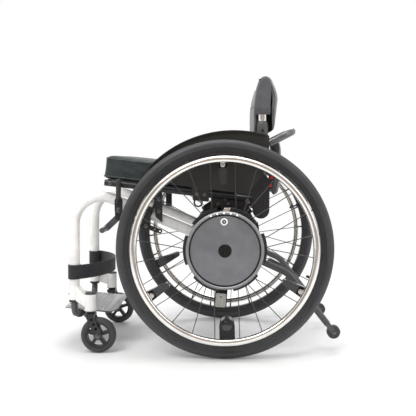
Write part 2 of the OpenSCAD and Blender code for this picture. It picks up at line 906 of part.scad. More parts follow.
// Solid castor tyre with a rounded tread
module castor_tyre(side) {
    rim_out = castor_r - castor_tyre_t + seat_gap;
    color("#3a3b3c")
        castor_axle(side)
            rotate_extrude($fn = 96)
                intersection() {
                    translate([rim_out, -castor_w / 2])
                        square([castor_r - rim_out, castor_w]);
                    translate([castor_r - castor_w * 0.6, 0])
                        circle(castor_w * 0.6);
                }
}

// Footrest tube: two legs that slide in the uprights and a cross tube
module footrest_tube() {
    cross_y = tube_y - foot_bend_r;
    color("#3c3e40")
        chair() {
            for (m = [0, 1])
                mirror([0, m, 0])
                    translate([-front_x, cross_y, foot_z + foot_bend_r])
                        rotate([90, 0, 90])
                            rotate(-90)
                                bent_tube(foot_r, foot_bend_r, 90, cross_y,
                                    front_low_z + foot_insert - foot_z - foot_bend_r);
        }
}

// Grooved footplate with a curved heel lip
module footplate() {
    groove_n = 9;
    groove_w = 3;
    groove_d = 1;
    groove_pitch = plate_l / (groove_n + 1);
    rear = plate_l - plate_lead;
    color("#9a9ea2")
        chair()
            translate([-front_x, 0, foot_z])
                rotate([0, plate_tilt, 0])
                    translate([0, plate_hw, foot_r + seat_gap])
                        rotate([90, 0, 0])
                            linear_extrude(2 * plate_hw) {
                                difference() {
                                    translate([-plate_lead, 0])
                                        square([plate_l, plate_t]);
                                    for (k = [1:groove_n])
                                        translate([-plate_lead + k * groove_pitch, plate_t - groove_d])
                                            square([groove_w, groove_d + cut]);
                                }
                                translate([rear, lip_r])
                                    intersection() {
                                        difference() {
                                            circle(lip_r, $fn = 96);
                                            circle(lip_r - plate_t, $fn = 96);
                                        }
                                        polygon([[0, 0], [0, -2 * lip_r],
                                            2 * lip_r * [tan(lip_arc / 2), -1],
                                            2 * lip_r * [sin(lip_arc), -cos(lip_arc)]]);
                                    }
                            }
}

// Calf strap looped round both uprights
module calf_strap() {
    soft_gap = 0.3;
    span_r = (tube_y * tube_y + strap_sag * strap_sag) / (2 * strap_sag);
    loop_r = frame_r + soft_gap + strap_t;
    back_x = -front_x + frame_r + soft_gap + strap_t + strap_sag;
    color("#1c1c1d")
        chair()
            translate([0, 0, strap_z])
                linear_extrude(strap_h)
                    difference() {
                        union() {
                            intersection() {
                                translate([back_x - span_r, 0])
                                    difference() {
                                        circle(span_r, $fn = 180);
                                        circle(span_r - strap_t, $fn = 180);
                                    }
                                translate([-front_x, -tube_y])
                                    square([2 * strap_sag, 2 * tube_y]);
                            }
                            for (s = [-1, 1])
                                translate([-front_x, s * tube_y])
                                    circle(loop_r);
                        }
                        for (s = [-1, 1])
                            translate([-front_x, s * tube_y])
                                circle(frame_r + soft_gap);
                    }
}

// Places what is drawn along the seat rails, u rearward and v up
module seat_plane() {
    chair()
        translate([-rail_front_x, 0, rail_front_z])
            rotate([0, seat_tilt, 0])
                children();
}

// Seat frame: rails, cross tubes, front brackets and backrest brackets
module seat_frame() {
    cross_r = rail_r - 1;
    cross_front = 70;
    cross_rear = 150;
    bracket_t = 6;
    bracket_w = 20;
    bracket_gap = 4;
    clamp_end = clamp_x + clamp_l / 2 * cos(slope) + (frame_r + clamp_wall) * sin(slope);
    bracket_x = [clamp_end + bracket_gap, clamp_end + bracket_gap + bracket_w];
    bracket_foot = [2, -8];
    hinge_in_y = rail_y + cane_r + pass_gap;
    hinge_t = 5;
    hinge_plate_r = 24;
    boss = on_seat(rail_l - 14, 0);
    plate_low = boss + [20, -28];
    plate_high = [hinge_x - 4, hinge_z - 12];
    color("#17181a") {
        for (side = [LEFT, RIGHT])
            chair(side) {
                rear = on_seat(rail_l, 0);
                rod([-rail_front_x, -rail_y, rail_front_z], [rear.x, -rail_y, rear.y], rail_r);
                side_plate(tube_y + frame_r + seat_gap, bracket_t)
                    polygon([[bracket_x[0], on_seat(seat_u(bracket_x[0]), 0).y],
                        [bracket_x[0], axle_z - bracket_x[0] * tan(slope) + bracket_foot[0]],
                        [bracket_x[1], axle_z - bracket_x[1] * tan(slope) + bracket_foot[1]],
                        [bracket_x[1], on_seat(seat_u(bracket_x[1]), 0).y]]);
                side_plate(hinge_in_y, hinge_t)
                    stadium(plate_low, plate_high, hinge_plate_r);
                side_plate(rail_y, hinge_in_y + cut - rail_y)
                    translate(boss)
                        circle(rail_r);
                side_plate(rail_y - cane_r, cane_r + hinge_in_y + cut - rail_y)
                    translate([hinge_x, hinge_z])
                        circle(hinge_r);
            }
        for (u = [cross_front, rail_l - cross_rear])
            chair() {
                p = on_seat(u, 0);
                rod([p.x, -rail_y, p.y], [p.x, rail_y, p.y], cross_r);
            }
    }
}

module seat_sling() {
    front_clear = 6;
    rear_clear = 70;
    color("#202122")
        seat_plane()
            translate([front_clear, -rail_y - rail_r / 2, rail_r + seat_gap])
                cube([rail_l - rear_clear, 2 * rail_y + rail_r, sling_t]);
}

// Points of a rounded rectangle, inset from the cushion's outline, at one height
function cushion_ring(inset, z) = let(
    hl = cushion_l / 2 - inset,
    hw = cushion_w / 2 - inset,
    r = max(cushion_corner - inset, 3),
    steps = 6)
    [for (c = [0:3]) for (k = [0:steps])
        let(a = c * 90 + k * 90 / steps, sx = c == 0 || c == 3 ? 1 : -1, sy = c < 2 ? 1 : -1)
        [cushion_l / 2 + sx * (hl - r) + r * cos(a), sy * (hw - r) + r * sin(a), z]];

// Faces that close a stack of rings of n points, with end caps
function stack_faces(rows, n) = concat(
    [[for (k = [0:n - 1]) k]],
    [for (j = [0:rows - 2]) for (k = [0:n - 1]) let(m = (k + 1) % n)
        each [[j * n + k, (j + 1) * n + m, j * n + m], [j * n + k, (j + 1) * n + k, (j + 1) * n + m]]],
    [[for (k = [n - 1:-1:0]) (rows - 1) * n + k]]);

// Cushion with piped edges, drawn-in sides and a crowned top
module cushion() {
    soft_gap = 0.3;
    pipe = 6;
    waist = 5;
    side_steps = 8;
    crown_steps = 7;
    top_flat = 40;
    low_inset = 12;
    overhang = 10;
    seam = [3, 2];
    sides = [for (k = [0:side_steps]) let(f = k / side_steps)
        cushion_ring(waist * sin(180 * f), pipe + (cushion_t - 2 * pipe) * f)];
    crown = [for (k = [0:crown_steps]) let(f = k / crown_steps)
        cushion_ring(low_inset + (cushion_w / 2 - top_flat - low_inset) * f,
            cushion_t + cushion_crown * sin(90 * f))];
    rings = concat([cushion_ring(low_inset, 0)], sides, [cushion_ring(seam[0], cushion_t - seam[1])], crown);
    n = len(rings[0]);
    color("#3d403c")
        seat_plane()
            translate([-overhang, 0, rail_r + seat_gap + sling_t + soft_gap])
                polyhedron([for (r = rings) each r], stack_faces(len(rings), n), convexity = 4);
}

// Back canes with the push bar
module back_frame() {
    foot = 12;
    color("#4a4c4f")
        chair()
            difference() {
                union() {
                    for (s = [-1, 1])
                        rod([hinge_x, s * rail_y, hinge_z - foot], [hinge_x, s * rail_y, cane_top_z], cane_r);
                    translate([hinge_x, 0, push_z])
                        rotate([0, -push_rise, 0])
                            for (m = [0, 1])
                                mirror([0, m, 0])
                                    translate([push_l - push_bend_r, rail_y - push_bend_r, 0])
                                        bent_tube(push_r, push_bend_r, 90,
                                            rail_y - push_bend_r, push_l - push_bend_r);
                }
                translate([hinge_x, rail_y + 2 * cane_r, hinge_z])
                    rotate([90, 0, 0])
                        cylinder(r = hinge_r + run_gap, h = 2 * rail_y + 4 * cane_r);
            }
}

// Share of the back's padding left at a height: a leaf from the lower edge to the top
function back_leaf(f) = pow(max(sin(180 * pow(f, 0.8)), 0), 0.55);
// Half width of the back: narrow between the hinges, wide round the canes
function back_half(f) = let(
    narrow = rail_y - cane_r - 4,
    above_hinge = 20,
    low = (hinge_z + above_hinge - back_low_z) / (back_top_z - back_low_z),
    t = min(max((f - low) / 0.06, 0), 1))
    narrow + (back_hw - narrow) * t * t * (3 - 2 * t);

// Closed outline of the back upholstery at a share f of its height
function back_ring(f, n) = let(
    z = back_low_z + (back_top_z - back_low_z) * f,
    hw = back_half(f),
    thin = 6,
    pad = thin + (back_pad - thin) * back_leaf(f))
    [for (k = [0:n - 1]) let(
        a = k * 360 / n,
        y = hw * sign(cos(a)) * pow(abs(cos(a)), 0.5),
        depth = pad * sign(sin(a)) * pow(abs(sin(a)), 0.7),
        belly = back_belly * (1 - pow(y / back_hw, 2)))
        [hinge_x + belly - depth, y, z]];

// Padded back upholstery, sleeved over the canes and cut round the push bar
module back_upholstery() {
    rows = 22;
    n = 40;
    soft_gap = 0.3;
    color("#5b5d60")
        chair()
            difference() {
                polyhedron([for (j = [0:rows]) each back_ring(j / rows, n)],
                    stack_faces(rows + 1, n), convexity = 4);
                for (s = [-1, 1]) {
                    translate([hinge_x, s * rail_y, back_low_z - cut])
                        cylinder(r = cane_r + soft_gap, h = cane_top_z + soft_gap - back_low_z + cut);
                    translate([hinge_x, 0, push_z])
                        rotate([0, -push_rise, 0])
                            rod([0, s * rail_y, 0], [push_l - push_bend_r, s * rail_y, 0], push_r + soft_gap);
                }
            }
}

// Side guard: outline points of its lower edge, from nose to tail, and of its clip on the rail
guard_nose_a = 139.1;
guard_nose_in = 4;
guard_low = [[guard_x, axle_z] + (guard_r - guard_nose_in) * [cos(guard_nose_a), sin(guard_nose_a)],
    on_seat(170, 18), on_seat(404, 15.5), [hinge_x, hinge_z + 8], [hinge_x + 18, hinge_z + 68]];
guard_clip = [on_seat(236, 66), on_seat(253.5, -19.5), on_seat(298, -18.5), on_seat(295.5, 73)];

module side_guard(side) {
    inner = guard_y - guard_t / 2;
    nose = guard_low[0];
    tail = guard_low[len(guard_low) - 1];
    lip_end = 2;
    nose_a = atan2(nose.y - axle_z, nose.x - guard_x) - lip_end;
    tail_a = acos((tail.x - guard_x) / guard_r) + lip_end;
    lip_step = 0.4;
    rail_face = rail_y + rail_r + pass_gap;
    lug_r = 10;
    lug_u = [263, 285];
    clip_t = 6;
    color("#1d1e20")
        chair(side) {
            side_plate(inner, guard_t)
                intersection() {
                    translate([guard_x, axle_z])
                        circle(guard_r, $fn = 180);
                    polygon(concat(guard_low,
                        [[tail.x, axle_z + 2 * guard_r], [nose.x, axle_z + 2 * guard_r]]));
                }
            translate([guard_x, -guard_y, axle_z])
                rotate([90, 0, 0])
                    rotate(tail_a)
                        rotate_extrude(angle = nose_a - tail_a, $fn = 180)
                            translate([guard_r - guard_t - lip_step, 0])
                                square([guard_t, lip_w]);
            side_plate(inner - clip_t, clip_t + guard_t / 2)
                polygon(guard_clip);
            for (u = lug_u)
                side_plate(rail_face, inner - clip_t + cut - rail_face)
                    translate(on_seat(u, 0))
                        circle(lug_r);
        }
}

// Cross tube at the axle with its seat plates, wheel receivers and anti-tip sockets
module axle_tube() {
    plate_w = 6;
    plate_in = rail_y - plate_w / 2;
    flange_r = 24;
    flange_end = wheel_y - hub_in - 2;
    foot_hw = flange_r + 3;
    plate_front = 1.7 * flange_r;
    plate_rear = 2.9 * flange_r;
    plate_h = on_seat(seat_u(0), 0).y - axle_z;
    waist_z = axle_z + 0.68 * plate_h;
    holes_z = axle_z + 0.76 * plate_h;
    window_z = axle_z + 0.43 * plate_h;
    socket_wall = 4;
    hole_r = 5;
    hole_pitch = 24;
    hole_shift = 8;
    window_r = 12;
    socket_bore_at = axle_tube_r + 5;
    color("#191a1c")
        for (side = [LEFT, RIGHT])
            chair(side)
                difference() {
                    union() {
                        side_plate(-seat_gap, axle_tube_y + seat_gap)
                            translate([0, axle_z])
                                circle(axle_tube_r);
                        side_plate(axle_tube_y - 1, flange_end - axle_tube_y + 1)
                            translate([0, axle_z])
                                circle(flange_r);
                        side_plate(plate_in, plate_w)
                            difference() {
                                union() {
                                    translate([0, axle_z])
                                        circle(foot_hw);
                                    polygon([[-foot_hw, axle_z], [-plate_front, waist_z],
                                        on_seat(seat_u(-plate_front), 0), on_seat(seat_u(plate_rear), 0),
                                        [plate_rear, waist_z], [foot_hw, axle_z]]);
                                }
                                for (k = [-1:1])
                                    translate([k * hole_pitch + hole_shift, holes_z])
                                        circle(hole_r);
                                translate([hole_shift / 2, window_z])
                                    circle(window_r);
                            }
                        rod([0, -tube_y, axle_z],
                            [tip_dir.x * (axle_tube_r + tip_socket_l), -tube_y,
                                axle_z + tip_dir.y * (axle_tube_r + tip_socket_l)], tip_r + socket_wall);
                    }
                    translate([-rail_front_x, -rail_y, rail_front_z])
                        rotate([0, 90 + seat_tilt, 0])
                            cylinder(r = rail_r + seat_gap, h = rail_l);
                    rod([tip_dir.x * socket_bore_at, -tube_y, axle_z + tip_dir.y * socket_bore_at],
                        [tip_dir.x * 2 * tip_socket_l, -tube_y, axle_z + tip_dir.y * 2 * tip_socket_l],
                        tip_r + run_gap);
                    side_plate(axle_inner_y - cut, axle_tube_y)
                        translate([0, axle_z])
                            circle(axle_r + seat_gap / 2);
                }
}

// Anti-tip tube with a bend and a clevis for its roller
module anti_tipper(side) {
    tube_bend_r = 60;
    leg_drop = -atan2(tip_leg_dir.y, tip_leg_dir.x);
    run_in = tube_bend_r * tan((leg_drop - tip_drop) / 2);
    start = [0, axle_z] + tip_dir * (axle_tube_r + 6);
    bend_a = [tip_bend_x, tip_bend_z] - tip_dir * run_in;
    bend_b = [tip_bend_x, tip_bend_z] + tip_leg_dir * run_in;
    centre = bend_a + tube_bend_r * [tip_dir.y, -tip_dir.x];
    yoke = [roller_x, roller_z] - tip_leg_dir * (roller_r + 9);
    cheek_t = 3;
    cheek_r = 7;
    cheek_in = roller_w / 2 + 0.6;
    color("#3a3c3e")
        chair(side) {
            translate([centre.x, -tube_y, centre.y])
                rotate([90, 0, 0])
                    rotate(90 - leg_drop)
                        bent_tube(tip_r, tube_bend_r, leg_drop - tip_drop,
                            norm(yoke - bend_b), norm(bend_a - start));
            side_plate(tube_y - cheek_in - cheek_t, 2 * (cheek_in + cheek_t))
                translate(yoke)
                    circle(cheek_r);
            for (y_in = [tube_y + cheek_in, tube_y - cheek_in - cheek_t])
                side_plate(y_in, cheek_t)
                    stadium(yoke, [roller_x, roller_z], cheek_r);
            side_plate(tube_y - cheek_in - cheek_t / 2, 2 * cheek_in + cheek_t)
                translate([roller_x, roller_z])
                    circle(roller_pin_r);
        }
}

module anti_tip_roller(side) {
    bore_r = roller_pin_r + run_gap;
    crown = 2;
    color("#2a2b2c")
        chair(side)
            translate([roller_x, -tube_y, roller_z])
                rotate([90, 0, 0])
                    rotate_extrude()
                        polygon([[bore_r, -roller_w / 2], [roller_r - crown, -roller_w / 2],
                            [roller_r, -roller_w / 2 + crown], [roller_r, roller_w / 2 - crown],
                            [roller_r - crown, roller_w / 2], [bore_r, roller_w / 2]]);
}

lock_pin_r = 4;
shoe_pivot = [0, axle_z] + (tyre_r + lock_gap) * [cos(lock_angle), sin(lock_angle)];
lever_pivot = shoe_pivot + [0, lever_rise];
// Clamp of the wheel lock on the frame tube
clamp_l = 30;
clamp_wall = 4;
clamp_back = 76;
clamp_x = shoe_pivot.x + clamp_back;
peg_at = shoe_pivot + shoe_arm * [cos(shoe_rest), sin(shoe_rest)];

// Wheel-lock body: clamp round the frame tube, perforated slide bar and pivot pins
module lock_body(side) {
    bar_hw = 6.5;
    bar_run = [116, -42];
    hole_r = 2.6;
    hole_n = 6;
    end_r = 11;
    bar_rear = shoe_pivot + bar_run;
    on_bar = shoe_pivot + bar_run * clamp_back / bar_run.x;
    clamp_z = axle_z - clamp_x * tan(slope);
    lug_in = tube_y + frame_r + cut;
    color("#1a1b1c")
        chair(side) {
            difference() {
                union() {
                    translate([clamp_x, -tube_y, clamp_z])
                        rotate([0, slope, 0])
                            translate([-clamp_l / 2, -frame_r - clamp_wall, -frame_r - clamp_wall])
                                cube([clamp_l, 2 * (frame_r + clamp_wall), 2 * (frame_r + clamp_wall)]);
                    side_plate(lug_in, lock_in_y + cut - lug_in)
                        stadium([clamp_x, clamp_z], on_bar, clamp_l * 0.4);
                }
                rod([bend_end.x, -tube_y, bend_end.y], [0, -tube_y, axle_z], frame_r + seat_gap);
            }
            side_plate(lock_in_y, lock_t)
                difference() {
                    union() {
                        stadium(bar_rear, shoe_pivot, bar_hw);
                        stadium(shoe_pivot, lever_pivot, end_r);
                    }
                    for (k = [0:hole_n - 1])
                        translate(bar_rear + (shoe_pivot - bar_rear) * k / (hole_n + 1.5))
                            circle(hole_r);
                }
            side_plate(lock_in_y + lock_t / 2, pass_gap + lock_t * 1.5)
                translate(lever_pivot)
                    circle(lock_pin_r);
            side_plate(lock_in_y - pass_gap - lock_t, pass_gap + lock_t * 1.5)
                translate(shoe_pivot)
                    circle(lock_pin_r);
        }
}

// Lever of the wheel lock with its handle
module lock_lever(side) {
    handle_r = 6;
    hub = 11;
    neck = 26;
    handle_lap = 6;
    handle_y = lever_in_y + handle_r;
    handle_low = [lever_pivot.x, -handle_y, lever_pivot.y + neck - handle_lap];
    handle_top = [lever_pivot.x, -handle_y, lever_pivot.y + lever_l - handle_r];
    color("#222325")
        chair(side) {
            side_plate(lever_in_y, lock_t)
                difference() {
                    stadium(lever_pivot, lever_pivot + [0, neck], hub);
                    translate(lever_pivot)
                        circle(lock_pin_r + run_gap);
                }
            rod(handle_low, handle_top, handle_r);
            translate(handle_top)
                sphere(handle_r);
        }
}

// Shoe of the wheel lock: a swinging arm with a peg that reaches over the tyre
module lock_shoe(side) {
    arm_r = 9;
    shoe_in = lock_in_y - pass_gap - lock_t;
    color("#2b2c2e")
        chair(side) {
            side_plate(shoe_in, lock_t)
                difference() {
                    stadium(shoe_pivot, peg_at, arm_r);
                    translate(shoe_pivot)
                        circle(lock_pin_r + run_gap);
                }
            side_plate(shoe_in, wheel_y + tyre_w / 2 - shoe_in)
                translate(peg_at)
                    circle(peg_r);
        }
}

tyre(LEFT);  // tyre_left
rim(LEFT);  // rim_left
spokes(LEFT);  // spokes_left
hub_shell(LEFT);  // hub_shell_left
hub_cover(LEFT);  // hub_cover_left
trim_ring(LEFT);  // trim_ring_left
charge_socket(LEFT);  // charge_socket_left
axle_button(LEFT);  // axle_button_left
hub_bearings(LEFT);  // hub_bearings_left
axle_pin(LEFT);  // axle_pin_left
stator(LEFT);  // stator_left
battery_pack(LEFT);  // battery_pack_left
handrim(LEFT);  // handrim_left
handrim_fins(LEFT);  // handrim_fins_left
sensor_block(LEFT);  // sensor_block_left
tyre(RIGHT);  // tyre_right
rim(RIGHT);  // rim_right
spokes(RIGHT);  // spokes_right
hub_shell(RIGHT);  // hub_shell_right
hub_cover(RIGHT);  // hub_cover_right
trim_ring(RIGHT);  // trim_ring_right
charge_socket(RIGHT);  // charge_socket_right
axle_button(RIGHT);  // axle_button_right
hub_bearings(RIGHT);  // hub_bearings_right
axle_pin(RIGHT);  // axle_pin_right
stator(RIGHT);  // stator_right
battery_pack(RIGHT);  // battery_pack_right
handrim(RIGHT);  // handrim_right
handrim_fins(RIGHT);  // handrim_fins_right
sensor_block(RIGHT);  // sensor_block_right
side_frame(LEFT);  // side_frame_left
side_frame(RIGHT);  // side_frame_right
castor_caps();
castor_fork(LEFT);  // castor_fork_left
castor_fork(RIGHT);  // castor_fork_right
castor_wheel(LEFT);  // castor_wheel_left
castor_wheel(RIGHT);  // castor_wheel_right
castor_tyre(LEFT);  // castor_tyre_left
castor_tyre(RIGHT);  // castor_tyre_right
footrest_tube();
footplate();
calf_strap();
seat_frame();
seat_sling();
cushion();
back_frame();
back_upholstery();
side_guard(LEFT);  // side_guard_left
side_guard(RIGHT);  // side_guard_right
axle_tube();
anti_tipper(LEFT);  // anti_tipper_left
anti_tipper(RIGHT);  // anti_tipper_right
anti_tip_roller(LEFT);  // anti_tip_roller_left
anti_tip_roller(RIGHT);  // anti_tip_roller_right
lock_body(LEFT);  // lock_body_left
lock_body(RIGHT);  // lock_body_right
lock_lever(LEFT);  // lock_lever_left
lock_lever(RIGHT);  // lock_lever_right
lock_shoe(LEFT);  // lock_shoe_left
lock_shoe(RIGHT);  // lock_shoe_right
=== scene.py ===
"""Looks of the wheelchair on power-assist wheels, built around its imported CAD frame."""

from math import atan2, ceil, copysign, cos, hypot, pi, radians, sin, sqrt

import bmesh
import bpy
from mathutils import Matrix, Vector


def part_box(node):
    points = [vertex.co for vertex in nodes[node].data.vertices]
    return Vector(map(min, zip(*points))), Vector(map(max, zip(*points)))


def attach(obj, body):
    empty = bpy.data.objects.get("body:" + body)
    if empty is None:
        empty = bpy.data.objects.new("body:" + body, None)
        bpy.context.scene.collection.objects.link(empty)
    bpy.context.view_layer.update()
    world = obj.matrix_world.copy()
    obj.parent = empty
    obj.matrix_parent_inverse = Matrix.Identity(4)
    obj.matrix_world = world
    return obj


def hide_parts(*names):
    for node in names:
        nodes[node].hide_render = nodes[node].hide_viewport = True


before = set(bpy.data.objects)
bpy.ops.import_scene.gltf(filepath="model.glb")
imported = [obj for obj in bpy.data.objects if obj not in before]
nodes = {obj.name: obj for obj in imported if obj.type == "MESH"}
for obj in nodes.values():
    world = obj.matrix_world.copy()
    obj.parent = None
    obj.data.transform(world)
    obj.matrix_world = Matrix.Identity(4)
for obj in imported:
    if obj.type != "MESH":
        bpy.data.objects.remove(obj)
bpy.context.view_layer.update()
scene = bpy.context.scene

MM = 0.001
UP = (0, 0, 1)
SIDES = ((-1, "left"), (1, "right"))


def box_middle(node):
    """Middle of a node's box."""
    return [(a + b) / 2 for a, b in zip(*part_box(node))]


AXLE_X, tyre_y, AXLE_Z = box_middle("tyre_left")
WHEEL_Y = -tyre_y
WHEEL_TURN = {-1: radians(1.5), 1: radians(-4)}


def at(x, y, z):
    """Point in metres; x is measured in millimetres from the drive axle, rearward."""
    return Vector((AXLE_X + x * MM, y * MM, z * MM))


def on_wheel(side, radius, angle, out):
    """Point on a drive wheel: radius and distance outboard in mm, angle in degrees from the rear."""
    a = radians(angle) + WHEEL_TURN[side]
    return Vector((
        AXLE_X + radius * MM * cos(a),
        side * (WHEEL_Y + out * MM),
        AXLE_Z + radius * MM * sin(a),
    ))


# Shapes as (points, faces), and their sections
def loft(rings, ends="capped"):
    """Skin over closed rings with the same number of points; its ends are capped, open or joined."""
    n = len(rings[0])
    count = len(rings)
    points = [p for ring in rings for p in ring]
    faces = []
    for j in range(count if ends == "joined" else count - 1):
        here = j * n
        then = (j + 1) % count * n
        for k in range(n):
            m = (k + 1) % n
            faces.append((here + k, here + m, then + m, then + k))
    if ends == "capped":
        faces.append(tuple(range(n - 1, -1, -1)))
        faces.append(tuple((count - 1) * n + k for k in range(n)))
    return points, faces


def facing(origin, axis, across=None):
    """Matrix whose z runs along axis at origin; its x is close to across."""
    z = Vector(axis).normalized()
    hint = Vector(across or UP)
    if abs(hint.normalized().dot(z)) > 0.95:
        hint = Vector((1, 0, 0))
    x = (hint - z * hint.dot(z)).normalized()
    y = z.cross(x)
    turn = Matrix((x, y, z)).transposed().to_4x4()
    return Matrix.Translation(origin) @ turn


def lathe(profile, origin, axis, n, ends="capped"):
    """Turned shape: profile is a list of (radius, height) in millimetres, closed round the axis."""
    place = facing(origin, axis)
    rings = [
        [place @ Vector((x * MM, y * MM, height * MM)) for x, y in round_section(max(radius, 0.01), n)]
        for radius, height in profile
    ]
    return loft(rings, ends)


def hoop(profile, origin, axis, n):
    """Turned ring: profile is a closed loop off the axis."""
    return lathe(profile, origin, axis, n, "joined")


def sweep(path, section, closed=False, up=None):
    """Section, a list of (across, up) in millimetres, carried along a path of points in metres."""
    count = len(path)
    rings = []
    hint = Vector(up or UP)
    for k, p in enumerate(path):
        if closed:
            along = path[(k + 1) % count] - path[k - 1]
        else:
            along = path[min(k + 1, count - 1)] - path[max(k - 1, 0)]
        along.normalize()
        if abs(along.dot(hint)) > 0.98:
            hint = along.orthogonal()
        side = along.cross(hint).normalized()
        lift = side.cross(along).normalized()
        if not up:
            hint = lift
        rings.append([p + side * a * MM + lift * b * MM for a, b in section])
    return loft(rings, "joined" if closed else "capped")


def round_section(radius, n):
    turns = [2 * pi * k / n for k in range(n)]
    return [(radius * cos(t), radius * sin(t)) for t in turns]


def flat_section(width, thick, corner, n):
    """Rounded rectangle, width across and thick up."""
    points = []
    for sx, sy, start in ((1, 1, 0), (-1, 1, 90), (-1, -1, 180), (1, -1, 270)):
        for k in range(n + 1):
            a = radians(start + 90 * k / n)
            points.append((
                sx * (width / 2 - corner) + corner * cos(a),
                sy * (thick / 2 - corner) + corner * sin(a),
            ))
    return points


def slab(outline, origin, axis, across, thick):
    """Flat plate: outline in the plane at origin and thick along axis, in millimetres."""
    place = facing(origin, axis, across)
    return loft([[place @ Vector((x * MM, y * MM, h * MM)) for x, y in outline] for h in (0, thick)])


def smooth_shade(mesh, degrees):
    mesh.polygons.foreach_set("use_smooth", [True] * len(mesh.polygons))
    mesh.set_sharp_from_angle(angle=radians(degrees))
    mesh.update()


def linked(name, data):
    obj = bpy.data.objects.new(name, data)
    scene.collection.objects.link(obj)
    return obj


def mesh_object(name, parts, material, bevel=0.0):
    """Object from shapes, with outward faces and an optional bevel in millimetres."""
    points, faces = [], []
    for more_points, more_faces in parts:
        start = len(points)
        points += more_points
        faces += [tuple(i + start for i in f) for f in more_faces]
    mesh = bpy.data.meshes.new(name)
    mesh.from_pydata([tuple(p) for p in points], [], faces)
    mesh.update()
    work = bmesh.new()
    work.from_mesh(mesh)
    bmesh.ops.remove_doubles(work, verts=work.verts, dist=2e-6)
    bmesh.ops.recalc_face_normals(work, faces=work.faces)
    work.to_mesh(mesh)
    work.free()
    smooth_shade(mesh, 38)
    mesh.materials.append(material)
    obj = linked(name, mesh)
    if bevel:
        edge = obj.modifiers.new("edge", "BEVEL")
        edge.width = bevel * MM
        edge.segments = 2
        edge.limit_method = "ANGLE"
        edge.angle_limit = radians(35)
        edge.harden_normals = False
    return obj


def piece(name, parts, material, body, bevel=0.0):
    """Hard detail that rides on a body."""
    obj = mesh_object(name, parts, material, bevel)
    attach(obj, body)
    return obj


# Camera: level, at the photograph's distance, with the small shift of its framing
PHOTO_PX = 416
FOCAL_PX = 739.6
AXIS_PX = (227.7, 160.4)
SENSOR_MM = 36
CAMERA_SPOT = (7.4, -2289, 543)
scene.view_settings.view_transform = "Standard"
lens = bpy.data.cameras.new("photo_camera")
lens.sensor_width = SENSOR_MM
lens.lens = FOCAL_PX * SENSOR_MM / PHOTO_PX
lens.shift_x = (PHOTO_PX / 2 - AXIS_PX[0]) / PHOTO_PX
lens.shift_y = (AXIS_PX[1] - PHOTO_PX / 2) / PHOTO_PX
camera = linked("photo_camera", lens)
camera.location = at(*CAMERA_SPOT)
camera.rotation_euler = (pi / 2, 0, 0)
scene.camera = camera


